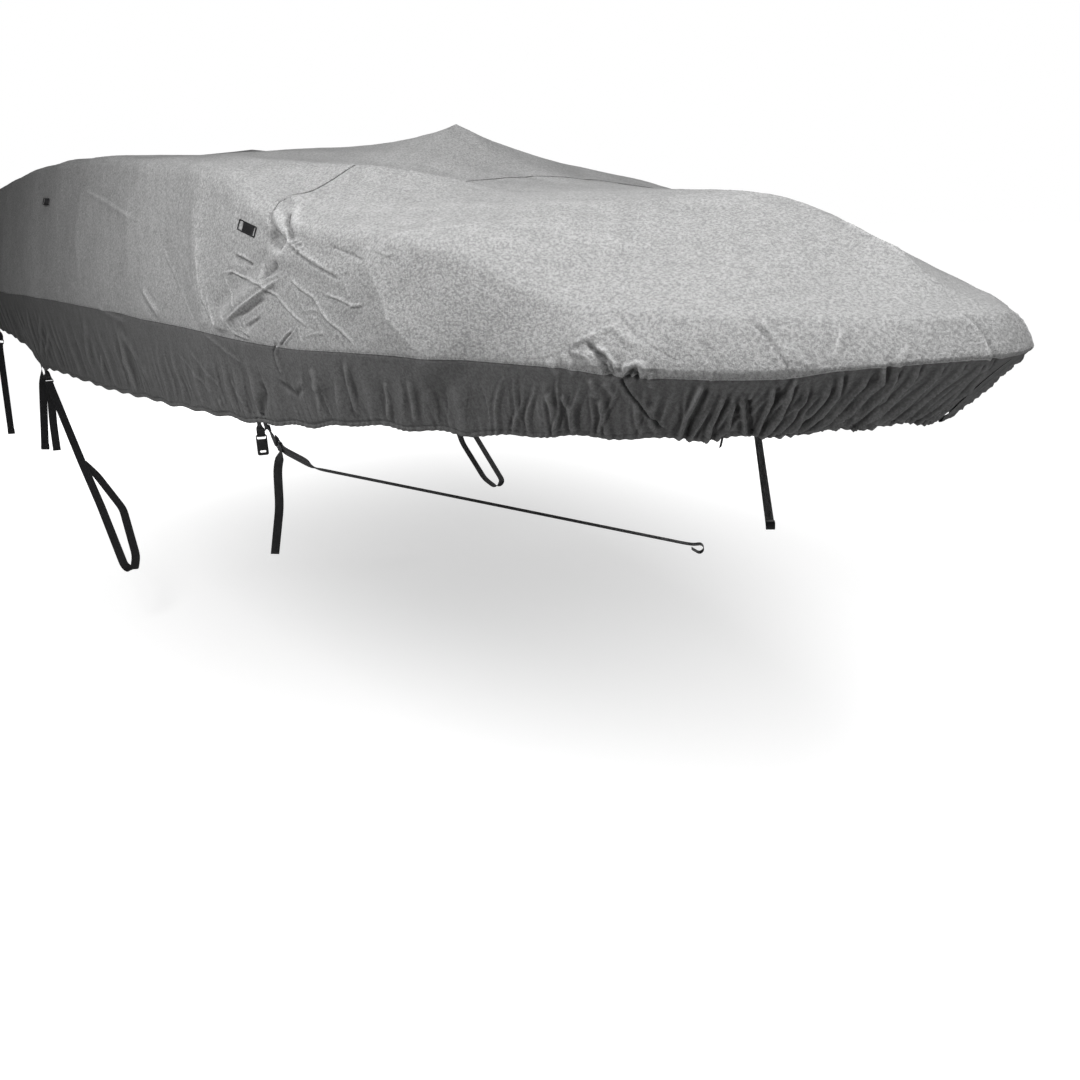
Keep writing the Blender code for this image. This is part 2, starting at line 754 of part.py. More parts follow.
def build_sliders(side, label, finishes, parent):
    """Flat sliders on the wall, with a slot at either end."""
    for slider in SLIDERS:
        reach = reach_at(slider.station, edge_station)
        centre = wall_point(reach, side, slider.share)
        ahead, behind = reach - SLIDER_SPAN, reach + SLIDER_SPAN
        along = wall_point(ahead, side, slider.share) - wall_point(behind, side, slider.share)
        up = (wall_point(reach, side, slider.share + 0.05) - centre).normalized()
        along = (along.normalized() - up * slider.dip).normalized()
        up = (up - along * up.dot(along)).normalized()
        normal = along.cross(up)
        if normal.dot(outward(side)) < 0:
            normal.negate()
        stand = slider.starboard if side == STARBOARD else slider.port
        slot_width = SLIDER_SIZE[1] - 2 * LINK_BAR
        slots = [(centre_at, length, slot_width) for centre_at, length in SLIDER_SLOTS]
        name = f"{slider.name}_{label}"
        plate = frame_plate(name, SLIDER_SIZE, slots, finishes["plastic"], parent)
        turn_to(plate, centre + normal * stand, along, up)


def main():
    """Clear the scene and build the cover."""
    for old in list(bpy.data.objects):
        bpy.data.objects.remove(old, do_unlink=True)
    bpy.context.scene.collection.children.link(COVER)
    parent = bpy.data.objects.new("boat_cover", None)
    COVER.objects.link(parent)
    build_top(parent)
    build_skirts(parent)
    finishes = {"web": webbing_weave(), "plastic": buckle_plastic()}
    for side, label in ((STARBOARD, "starboard"), (PORT, "port")):
        build_fore_set(side, label, finishes, parent)
        build_aft_set(side, label, finishes, parent)
        build_stern_set(side, label, finishes, parent)
        build_sliders(side, label, finishes, parent)


COVER = bpy.data.collections.new("boat_cover")
main()
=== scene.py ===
"""Looks of a fitted boat cover: pale coated cloth over a boat that is left out, with webbing ties.

The cover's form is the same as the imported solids', worked out here at a finer pitch, and the
folds, creases, gathers, seams and fittings are added to it. +X runs to the bow, +Y to port and
+Z up, in metres. Stations are measured aft from the bow tip and heights from the rail line.
"""
import logging
import math
from collections.abc import Sequence
from dataclasses import astuple, dataclass, field
from enum import Enum

import bmesh
import bpy
import numpy as np
from mathutils import Matrix, Vector


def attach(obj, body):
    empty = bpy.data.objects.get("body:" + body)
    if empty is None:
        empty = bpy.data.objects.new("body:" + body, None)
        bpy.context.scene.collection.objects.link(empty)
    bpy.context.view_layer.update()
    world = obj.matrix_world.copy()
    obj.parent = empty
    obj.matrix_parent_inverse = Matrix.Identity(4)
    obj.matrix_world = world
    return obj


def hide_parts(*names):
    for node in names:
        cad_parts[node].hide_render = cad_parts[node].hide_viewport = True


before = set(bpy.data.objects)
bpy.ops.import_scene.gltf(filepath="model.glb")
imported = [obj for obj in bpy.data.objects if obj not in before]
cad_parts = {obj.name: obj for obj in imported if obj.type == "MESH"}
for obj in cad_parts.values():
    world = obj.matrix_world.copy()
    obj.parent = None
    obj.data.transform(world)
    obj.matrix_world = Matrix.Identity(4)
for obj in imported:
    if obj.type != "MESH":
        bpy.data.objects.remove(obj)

LOG = logging.getLogger("boat_cover")
Array = np.ndarray
Material, Mesh, Node = bpy.types.Material, bpy.types.Mesh, bpy.types.Node
Tree, Socket = bpy.types.ShaderNodeTree, bpy.types.NodeSocket
Look = tuple[Material, str]

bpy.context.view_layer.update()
POLE_STATION = 2.13
CAP_HEIGHT = 0.605
CLOTH = 0.002


class Side(Enum):
    """Side of the boat, with the sign of its Y."""

    STARBOARD = -1
    PORT = 1

    @property
    def label(self) -> str:
        """The side's name, as the nodes use it."""
        return self.name.lower()


STARBOARD, PORT = Side


class Zone(Enum):
    """Stretch of the cover's girth, from the hem up."""

    SKIRT = 0
    RAIL = 1
    WALL = 2
    EDGE = 3
    TOP = 4


# ---- form of the cover


@dataclass(frozen=True)
class Rib:
    """One rib of the cover, from the bow tip round the side to the middle of the stern."""

    station: float
    half_beam: float
    rail: float
    wall_height: float
    wall_lean: float
    skirt_drop: float
    skirt_tuck: float


RIBS = (
    Rib(-0.012, 0.000, 0.030, 0.084, 0.050, 0.168, 0.160),
    Rib(-0.004, 0.050, 0.030, 0.085, 0.050, 0.168, 0.157),
    Rib(0.022, 0.116, 0.030, 0.086, 0.053, 0.167, 0.150),
    Rib(0.097, 0.248, 0.025, 0.087, 0.060, 0.162, 0.134),
    Rib(0.210, 0.400, 0.015, 0.096, 0.060, 0.157, 0.108),
    Rib(0.360, 0.550, 0.011, 0.106, 0.060, 0.162, 0.085),
    Rib(0.620, 0.700, 0.011, 0.123, 0.060, 0.172, 0.070),
    Rib(0.990, 0.830, 0.010, 0.243, 0.060, 0.203, 0.055),
    Rib(1.250, 0.905, 0.002, 0.285, 0.065, 0.207, 0.050),
    Rib(1.560, 0.970, -0.008, 0.320, 0.070, 0.240, 0.045),
    Rib(2.080, 1.035, 0.004, 0.455, 0.130, 0.292, 0.045),
    Rib(2.700, 1.075, 0.004, 0.508, 0.165, 0.330, 0.045),
    Rib(3.500, 1.105, -0.005, 0.562, 0.165, 0.366, 0.045),
    Rib(4.500, 1.125, -0.030, 0.578, 0.160, 0.376, 0.045),
    Rib(5.050, 1.125, -0.050, 0.570, 0.155, 0.296, 0.045),
    Rib(5.600, 1.125, -0.062, 0.548, 0.155, 0.270, 0.045),
    Rib(6.200, 1.115, -0.068, 0.512, 0.170, 0.262, 0.045),
    Rib(6.500, 1.000, -0.070, 0.470, 0.230, 0.260, 0.045),
    Rib(6.600, 0.750, -0.070, 0.445, 0.270, 0.260, 0.045),
    Rib(6.600, 0.380, -0.070, 0.435, 0.280, 0.260, 0.045),
    Rib(6.600, 0.000, -0.070, 0.435, 0.280, 0.260, 0.045),
)


@dataclass(frozen=True)
class Middle:
    """Height of the top's middle line, and how full the top is beside it."""

    station: float
    height: float
    crown: float


MIDDLES = (
    Middle(0.04, 0.110, 1.0), Middle(0.22, 0.199, 1.05), Middle(0.40, 0.266, 1.15),
    Middle(0.55, 0.314, 1.25), Middle(0.70, 0.349, 1.35), Middle(0.85, 0.356, 1.7),
    Middle(1.00, 0.356, 2.2), Middle(1.35, 0.352, 2.6), Middle(1.60, 0.356, 2.6),
    Middle(2.13, 0.425, 2.6), Middle(2.70, 0.510, 2.3), Middle(3.40, 0.532, 2.4),
    Middle(4.10, 0.545, 2.6), Middle(4.80, 0.535, 2.6), Middle(5.70, 0.515, 2.6),
    Middle(6.32, 0.365, 2.6),
)


@dataclass(frozen=True)
class Pole:
    """Pole under the top, which lifts the cloth to a point."""

    station: float
    height: float
    reach: float


POLES = (Pole(POLE_STATION, CAP_HEIGHT + 0.004, 0.42), Pole(4.10, 0.626, 0.48))


@dataclass(frozen=True)
class Crest:
    """Point of the crest that the cloth makes over each console."""

    station: float
    offset: float
    starboard: float
    port: float


CRESTS = (
    Crest(2.60, 0.83, 0.518, 0.470), Crest(2.28, 0.78, 0.514, 0.425),
    Crest(1.95, 0.72, 0.492, 0.385), Crest(1.62, 0.61, 0.458, 0.352),
    Crest(1.47, 0.43, 0.414, 0.352), Crest(1.38, 0.28, 0.372, 0.352),
)


@dataclass(frozen=True)
class Pull:
    """Place where a strap pulls the hem down."""

    station: float
    depth: float
    width: float


PULLS = (Pull(1.86, 0.008, 0.08), Pull(4.61, 0.030, 0.10), Pull(5.95, 0.010, 0.10))


@dataclass(frozen=True)
class Fold:
    """Main fold of the starboard wall; one with a depth below 0 is a trough."""

    station: float
    height: float
    end_station: float
    end_height: float
    width: float
    depth: float


FOLDS = (
    Fold(1.57, 0.225, 1.88, 0.025, 0.036, 0.014),
    Fold(1.68, 0.210, 1.92, 0.070, 0.030, -0.008),
    Fold(1.60, 0.260, 1.32, 0.180, 0.030, 0.006),
    Fold(2.17, 0.375, 2.02, 0.025, 0.045, 0.007),
    Fold(2.42, 0.235, 2.07, 0.020, 0.045, -0.005),
    Fold(0.60, 0.060, 0.48, 0.030, 0.040, 0.014),
)


def between(keys: Sequence[float], values: Sequence[float], at: Array) -> Array:
    """Values between the rows of a table, on a curve that doesn't overshoot them.

    Args:
        keys: The table's rising first column.
        values: The column to read.
        at: Where to read it.

    Returns:
        One value for each place in at.
    """
    keys, values = np.asarray(keys, float), np.asarray(values, float)
    at = np.clip(at, keys[0], keys[-1])
    span = np.diff(keys)
    rise = np.diff(values) / span
    product = rise[:-1] * rise[1:]
    inner = np.zeros(len(keys) - 2)
    np.divide(2 * product, rise[:-1] + rise[1:], out=inner, where=product > 0)
    slope = np.concatenate([rise[:1], inner, rise[-1:]])
    low = np.clip(np.searchsorted(keys, at) - 1, 0, len(keys) - 2)
    t = (at - keys[low]) / span[low]
    lift = (3 - 2 * t) * t * t
    bend = t * (1 - t) ** 2 * slope[low] - t * t * (1 - t) * slope[low + 1]
    return values[low] * (1 - lift) + values[low + 1] * lift + span[low] * bend


def ease(value: Array, low: float, high: float) -> Array:
    """Smooth step from 0 at low to 1 at high."""
    t = np.clip((value - low) / (high - low), 0.0, 1.0)
    return t * t * (3 - 2 * t)


def to_line(x: Array, y: Array, ends: Sequence[float]) -> tuple[Array, Array, Array]:
    """Nearest place on a straight run.

    Args:
        x: First coordinates of the points.
        y: Second coordinates of the points.
        ends: The run's start and end, as x, y, x, y.

    Returns:
        The share along the run, the distance from it, and on which side each point lies.
    """
    run, rise = ends[2] - ends[0], ends[3] - ends[1]
    square = run * run + rise * rise
    share = np.clip(((x - ends[0]) * run + (y - ends[1]) * rise) / square, 0.0, 1.0)
    across_x, across_y = x - ends[0] - share * run, y - ends[1] - share * rise
    side = np.sign(run * (y - ends[1]) - rise * (x - ends[0]))
    return share, np.hypot(across_x, across_y), side


@dataclass
class Form:
    """Shape that the cloth takes over the boat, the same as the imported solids'."""

    plan_step: float = 0.05
    tuck_power: float = 1.2
    stem_power: float = 0.35
    stem_fade: float = 0.25
    stem_share: float = 0.6
    lean_power: float = 1.3
    edge_hold: float = 8.0
    crest_width: float = 0.13
    crest_round: float = 0.02
    port_dips: tuple[tuple[float, float, float], ...] = ((0.27, 0.014, 0.08), (2.20, 0.065, 0.55))
    dip_start: float = 0.12
    spine_bow: float = 0.30
    spine_stern: float = 6.05
    fan_bow_end: float = 1.00
    fan_stern_start: float = 5.50
    hem_wave: tuple[float, float] = (0.004, 31.0)
    gather_depth: float = 0.005
    gather_spacing: float = 0.45
    gather_close: float = 0.70
    gather_more: float = 8.0
    gather_gap: float = 0.15
    gather_start: float = 0.15
    gather_ends: float = 0.12
    rail_round: float = 0.013
    rail_tight: float = 0.0045
    rail_open: tuple[float, float] = (1.4, 2.4)
    turn_down: float = 0.0015
    turn_more: float = 0.011
    turn_from: tuple[float, float] = (0.40, 0.52)
    turn_to: tuple[float, float] = (0.86, 1.00)
    edge_soft: tuple[float, float] = (0.9, 1.9)
    least_width: float = 0.02
    edge_round_bow: float = 0.014
    edge_round_side: float = 0.040
    wall_bump: tuple[float, float, float, float] = (1.64, 0.870, 0.060, 0.028)

    def __post_init__(self) -> None:
        """Measure the rail."""
        table = np.array([astuple(rib) for rib in RIBS])
        names = list(RIBS[0].__dataclass_fields__)
        self.table = {name: table[:, index] for index, name in enumerate(names)}
        steps = np.hypot(np.diff(table[:, 0]), np.diff(table[:, 1]))
        self.reaches = np.concatenate([[0.0], np.cumsum(steps)])
        self.length = float(self.reaches[-1])
        fine = np.linspace(0.0, self.length, 4000)
        turn = np.argmax(self.rail("station", fine))
        self.guide = fine[:turn], self.rail("station", fine[:turn])
        self.edge_guide = fine[:turn], self.edge(fine[:turn], STARBOARD)[0]

    def rail(self, name: str, reach: Array) -> Array:
        """One column of the rib table at distances along the rail."""
        return between(self.reaches, self.table[name], reach)

    def reach_of(self, station: float, at_edge: bool = False) -> float:
        """Distance along the rail at which the rail, or the upper edge, passes a station."""
        reaches, stations = self.edge_guide if at_edge else self.guide
        return float(np.interp(station, stations, reaches))

    def plan(self, reach: Array) -> tuple[Array, Array]:
        """The rail's course, mirrored past either end.

        Args:
            reach: Distances along the rail.

        Returns:
            The stations and the offsets.
        """
        beyond = (reach < 0) | (reach > self.length)
        inside = np.where(reach < 0, -reach, reach)
        inside = np.where(inside > self.length, 2 * self.length - inside, inside)
        offset = self.rail("half_beam", inside)
        return self.rail("station", inside), np.where(beyond, -offset, offset)

    def inboard(self, reach: Array) -> tuple[Array, Array]:
        """Level direction from the rail into the boat.

        Args:
            reach: Distances along the rail.

        Returns:
            Its part aft and its part towards the middle line.
        """
        ahead, behind = self.plan(reach + self.plan_step), self.plan(reach - self.plan_step)
        run, spread = ahead[0] - behind[0], ahead[1] - behind[1]
        length = np.hypot(run, spread)
        return spread / length, -run / length

    @staticmethod
    def place(station: Array, offset: Array, height: Array, side: Side) -> Array:
        """Points in the cover's frame, in the last axis."""
        station, offset, height = np.broadcast_arrays(station, offset, height)
        return np.stack([POLE_STATION - station, side.value * offset, height - CAP_HEIGHT], -1)

    def wall_height(self, reach: Array, side: Side) -> Array:
        """Height of the wall's upper edge above the rail.

        Args:
            reach: Distances along the rail.
            side: Side of the boat.

        Returns:
            One height for each distance.
        """
        height = self.rail("wall_height", reach)
        if side is PORT:
            for station, depth, spread in self.port_dips:
                away = (self.rail("station", reach) - station) / spread
                height = height - depth * np.exp(-away * away) * np.minimum(reach / self.dip_start, 1.0)
        return height

    def hem_drop(self, reach: Array, side: Side) -> Array:
        """Depth of the hem below the rail, pulled down to a point at each strap.

        Args:
            reach: Distances along the rail.
            side: Side of the boat.

        Returns:
            One depth for each distance.
        """
        drop, station = self.rail("skirt_drop", reach), self.rail("station", reach)
        for pull in PULLS:
            drop = drop + pull.depth / (1 + ((station - pull.station) / pull.width) ** 2)
        return drop + self.hem_wave[0] * np.sin(self.hem_wave[1] * reach + side.value)

    def gather(self, reach: Array, side: Side) -> Array:
        """How far the main gathers stand out at the hem.

        Args:
            reach: Distances along the rail.
            side: Side of the boat.

        Returns:
            One distance outward for each place.
        """
        close = np.exp(-reach / self.gather_close)
        turns = reach / self.gather_spacing + self.gather_more * (1 - close)
        depth = self.gather_depth * (1 + close)
        station = self.rail("station", reach)
        for pull in PULLS:
            depth = depth * (1 - np.exp(-(((station - pull.station) / self.gather_gap) ** 4)))
        ends = ease(reach, 0.0, self.gather_ends) * ease(self.length - reach, 0.0, self.gather_ends)
        swell = (0.7 + 0.3 * np.sin(5.1 * reach + side.value)) * ends
        return depth * swell * np.sin(2 * math.pi * turns + side.value)

    def hang(self, reach: Array, side: Side, drop: Array) -> Array:
        """Points of the skirt at a depth below the rail.

        Args:
            reach: Distances along the rail.
            side: Side of the boat.
            drop: Depths below the rail.

        Returns:
            One point for each distance.
        """
        station, offset = self.plan(reach)
        aft, inward = self.inboard(reach)
        share = drop / self.hem_drop(reach, side)
        power = self.tuck_power - self.stem_power * np.exp(-reach / self.stem_fade)
        shift = self.rail("skirt_tuck", reach) * share**power
        shift = shift - self.gather(reach, side) * np.maximum(share - self.gather_start, 0.0)
        offset = np.maximum(offset + inward * shift, offset * self.stem_share)
        return self.place(station + aft * shift, offset, self.rail("rail", reach) - drop, side)

    def wall(self, reach: Array, side: Side, share: Array) -> Array:
        """Points of the wall, from the rail at share 0 to its upper edge at 1.

        Args:
            reach: Distances along the rail.
            side: Side of the boat.
            share: Shares of the way up the wall.

        Returns:
            One point for each distance.
        """
        station, offset = self.plan(reach)
        aft, inward = self.inboard(reach)
        lean = self.rail("wall_lean", reach) * share**self.lean_power
        rise = self.wall_height(reach, side) * share
        if side is STARBOARD:
            for fold in FOLDS:
                ends = fold.station, fold.height, fold.end_station, fold.end_height
                away = to_line(station, rise, ends)[1]
                lean = lean - fold.depth * np.exp(-((away / fold.width) ** 2))
        height = self.rail("rail", reach) + rise
        return self.place(station + aft * lean, offset + inward * lean, height, side)

    def edge(self, reach: Array, side: Side) -> tuple[Array, Array, Array]:
        """The wall's upper edge, without folds.

        Args:
            reach: Distances along the rail.
            side: Side of the boat.

        Returns:
            Its stations, offsets and heights.
        """
        station, offset = self.plan(reach)
        aft, inward = self.inboard(reach)
        lean = self.rail("wall_lean", reach)
        height = self.rail("rail", reach) + self.wall_height(reach, side)
        return station + aft * lean, offset + inward * lean, height

    def spine(self, station: Array) -> Array:
        """Where the ribs that leave the edge at these stations meet the middle line.

        Args:
            station: Stations of the wall's upper edge.

        Returns:
            Stations on the middle line.
        """
        tip = RIBS[0].station + RIBS[0].wall_lean
        end = RIBS[-1].station - RIBS[-1].wall_lean
        fore = (station - tip) / (self.fan_bow_end - tip)
        fore = self.spine_bow + (self.fan_bow_end - self.spine_bow) * fore
        aft = (station - self.fan_stern_start) / (end - self.fan_stern_start)
        aft = self.fan_stern_start + (self.spine_stern - self.fan_stern_start) * aft
        station = np.where(station < self.fan_bow_end, fore, station)
        return np.where(station > self.fan_stern_start, aft, station)

    def crest_lift(self, station: Array, offset: Array, height: Array, side: Side) -> Array:
        """How far the crest over a console lifts the top.

        Args:
            station: Stations of the top's points.
            offset: Their offsets.
            height: Their heights before the lift.
            side: Side of the boat.

        Returns:
            One lift for each point.
        """
        nearest, target = np.full(np.shape(station), 1.0), height
        for first, last in zip(CRESTS, CRESTS[1:]):
            ends = first.station, first.offset, last.station, last.offset
            share, away, _ = to_line(station, offset, ends)
            low, high = (getattr(row, side.label) for row in (first, last))
            target = np.where(away < nearest, low + share * (high - low), target)
            nearest = np.minimum(nearest, away)
        fall = (np.hypot(nearest, self.crest_round) - self.crest_round) / self.crest_width
        return np.maximum(target - height, 0.0) * np.exp(-fall)

    def top(self, reach: Array, side: Side, share: Array) -> Array:
        """Points of the top, from the wall's upper edge at share 0 to the middle line at 1.

        Args:
            reach: Distances along the rail.
            side: Side of the boat.
            share: Shares of the way in to the middle line.

        Returns:
            One point for each distance.
        """
        edge_station, edge_offset, edge_height = self.edge(reach, side)
        station = edge_station + (self.spine(edge_station) - edge_station) * share
        offset = edge_offset * (1 - share)
        stations = [row.station for row in MIDDLES]
        heights = [row.height for row in MIDDLES]
        power = between(stations, [row.crown for row in MIDDLES], station)
        crown = 1 - (1 - share) ** power
        height = edge_height + (between(stations, heights, station) - edge_height) * crown
        free = 1 - (1 - share) ** self.edge_hold
        for pole in POLES:
            away = np.hypot(station - pole.station, offset)
            lift = pole.height - between(stations, heights, np.array(pole.station))
            height = height + lift * np.exp(-away / pole.reach) * free
        height = height + self.crest_lift(station, offset, height, side) * free
        if side is STARBOARD:
            at_station, at_offset, width, rise = self.wall_bump
            away = np.hypot(station - at_station, offset - at_offset) / width
            height = height + rise * np.exp(-away * away)
        return self.place(station, offset, height, side)

    def rail_turn(self, reach: Array) -> Array:
        """Reach of the rounded fold over the rail to either side of it, tight at the bow."""
        return self.rail_tight + (self.rail_round - self.rail_tight) * ease(reach, *self.rail_open)

    def seam_drop(self, reach: Array) -> Array:
        """Depth below the rail to which the top's cloth is turned down over the skirt."""
        more = ease(reach, *self.turn_from) * (1 - ease(reach, *self.turn_to))
        return self.rail_turn(reach) + self.turn_down + self.turn_more * more

    def skirt_share(self, drop: Array, reach: Array, side: Side) -> Array:
        """Share up the skirt at which a depth below the rail lies."""
        low = self.rail_turn(reach)
        return 1 - (drop - low) / (self.hem_drop(reach, side) - low)

    def row(self, zone: Zone, share: float | Array, reach: Array, side: Side) -> tuple[Array, Array]:
        """One row of the cover's girth.

        Args:
            zone: The stretch of the girth.
            share: How far up that stretch the row lies.
            reach: Distances along the rail.
            side: Side of the boat.

        Returns:
            The row's points, and how far up the cloth from the rail each one lies.
        """
        tall = self.wall_height(reach, side)
        wide = np.maximum(self.edge(reach, side)[1], self.least_width)
        low = np.minimum(self.rail_turn(reach), 0.3 * tall)
        turn = ease(reach, *self.edge_soft) if side is STARBOARD else 1.0
        soft = self.edge_round_bow + (self.edge_round_side - self.edge_round_bow) * turn
        high = np.minimum(soft, np.minimum(0.4 * tall, 0.4 * wide))
        if zone is Zone.SKIRT:
            drop = low + (self.hem_drop(reach, side) - low) * (1 - share)
            return self.hang(reach, side, drop), -drop
        if zone is Zone.RAIL:
            ends = [self.hang(reach, side, low), self.hang(reach, side, 0 * low)]
            ends.append(self.wall(reach, side, low / tall))
            return round_off(ends, share), low * (2 * share - 1)
        if zone is Zone.WALL:
            rise = low + (tall - high - low) * share
            return self.wall(reach, side, rise / tall), rise
        if zone is Zone.EDGE:
            ends = [self.wall(reach, side, 1 - high / tall), self.wall(reach, side, 1 + 0 * tall)]
            ends.append(self.top(reach, side, high / wide))
            return round_off(ends, share), tall + high * (2 * share - 1)
        inner = high / wide + (1 - high / wide) * share
        return self.top(reach, side, inner), tall + wide * inner


def round_off(ends: Sequence[Array], share: float) -> Array:
    """Points on the rounded corner between two runs that meet at the middle one of ends."""
    return (1 - share) ** 2 * ends[0] + 2 * share * (1 - share) * ends[1] + share**2 * ends[2]


FORM = Form()


# ---- creases and gathers


class Profile(Enum):
    """Cross-section of a crease."""

    RIDGE = "a soft ridge"
    ROLL = "a ridge with a hollow on its left"
    ROOF = "two slopes that meet in a line and die away"


ROOF_ROUND = 0.12
LEAST_FADE = 0.12
HOLLOW_DEPTH = 0.75
HOLLOW_PLACE = 1.5
HOLLOW_WIDTH = 0.8


@dataclass(frozen=True)
class Crease:
    """Crease in the cloth through points of distance along the rail and height up from it."""

    points: tuple[tuple[float, float], ...]
    width: float
    depth: float
    profile: Profile
    fade: float

    def height(self, reach: Array, girth: Array) -> Array:
        """How far the crease stands out.

        Args:
            reach: Distances along the rail.
            girth: Distances up the cloth from the rail.

        Returns:
            One height for each point, below 0 in a hollow.
        """
        line = self.points
        lengths = [math.dist(first, last) for first, last in zip(line, line[1:])]
        total = sum(lengths)
        away, side, along = np.full(reach.shape, 9.0), np.ones(reach.shape), np.zeros(reach.shape)
        before = 0.0
        for first, last, length in zip(line, line[1:], lengths):
            share, gap, left = to_line(reach, girth, (*first, *last))
            closer = gap < away
            away = np.where(closer, gap, away)
            side = np.where(closer, left, side)
            along = np.where(closer, (before + share * length) / total, along)
            before += length
        fade = ease(along, 0.0, self.fade) * ease(1 - along, 0.0, self.fade)
        fade = np.maximum(fade, LEAST_FADE)
        out = away / self.width
        if self.profile is Profile.ROOF:
            return self.depth * np.exp(ROOF_ROUND - np.hypot(out, ROOF_ROUND)) * fade
        ridge = np.exp(-out * out)
        if self.profile is Profile.ROLL:
            ridge = ridge - HOLLOW_DEPTH * np.exp(-((out * side - HOLLOW_PLACE) ** 2) / HOLLOW_WIDTH)
        return self.depth * ridge * fade


def creases(profile: Profile, *rows: Sequence[float]) -> tuple[Crease, ...]:
    """Creases of one profile, from a table in millimetres.

    Args:
        profile: The creases' cross-section.
        rows: Each crease's width, depth and fade, then the distance along the rail and the
            height up from it of each of its points.

    Returns:
        The creases.
    """
    made = []
    for width, depth, fade, *line in rows:
        points = tuple((reach / 1000, height / 1000) for reach, height in zip(line[::2], line[1::2]))
        made.append(Crease(points, width / 1000, depth / 1000, profile, fade))
    return tuple(made)


@dataclass(frozen=True)
class Gathers:
    """Run of gathers up from the hem, where its elastic draws the skirt in."""

    start: float
    end: float
    spacing: float
    depth: float
    width: float
    top: float
    lean: float

    def height(self, reach: Array, girth: Array, share: Array, seed: int) -> Array:
        """How far the gathers stand out.

        Args:
            reach: Distances along the rail.
            girth: Distances up the cloth from the rail, below 0 on the skirt.
            share: Share of the way from the rail down to the hem.
            seed: Which random run of folds it is.

        Returns:
            One height for each point.
        """
        draw = np.random.default_rng(seed)
        total = np.zeros(reach.shape)
        at = self.start
        while at < self.end:
            width = self.width * draw.uniform(0.7, 1.4)
            depth = self.depth * draw.uniform(0.35, 1.25)
            top = self.top * draw.uniform(0.3, 1.5)
            lean = self.lean + draw.uniform(-0.12, 0.12)
            centre = at - lean * girth + 0.006 * np.sin(girth * 38.0 + at * 60.0)
            out = (reach - centre) / width
            near = np.abs(out) < 3
            rise = ease(share[near], top, 1.0 + top) * 2
            shape = np.exp(-(np.abs(out[near]) ** 1.6))
            total[near] += depth * np.minimum(rise, 1.0) * (shape - 0.35)
            at += self.spacing * draw.uniform(0.65, 1.45)
        return total


@dataclass(frozen=True)
class Ripples:
    """Soft unevenness of hanging cloth, as waves that run in many directions."""

    seed: int
    length: float
    depth: float
    waves: int = 11

    def height(self, reach: Array, girth: Array) -> Array:
        """How far the cloth stands out at distances along and up from the rail.

        Args:
            reach: Distances along the rail.
            girth: Distances up the cloth from the rail.

        Returns:
            One height for each point.
        """
        draw = np.random.default_rng(self.seed)
        total = np.zeros(reach.shape)
        for _ in range(self.waves):
            angle, phase = draw.uniform(0, 2 * math.pi, 2)
            count = 2 * math.pi / (self.length * draw.uniform(0.6, 1.7))
            total += np.sin(count * (reach * math.cos(angle) + girth * math.sin(angle)) + phase)
        return self.depth * total / math.sqrt(self.waves)


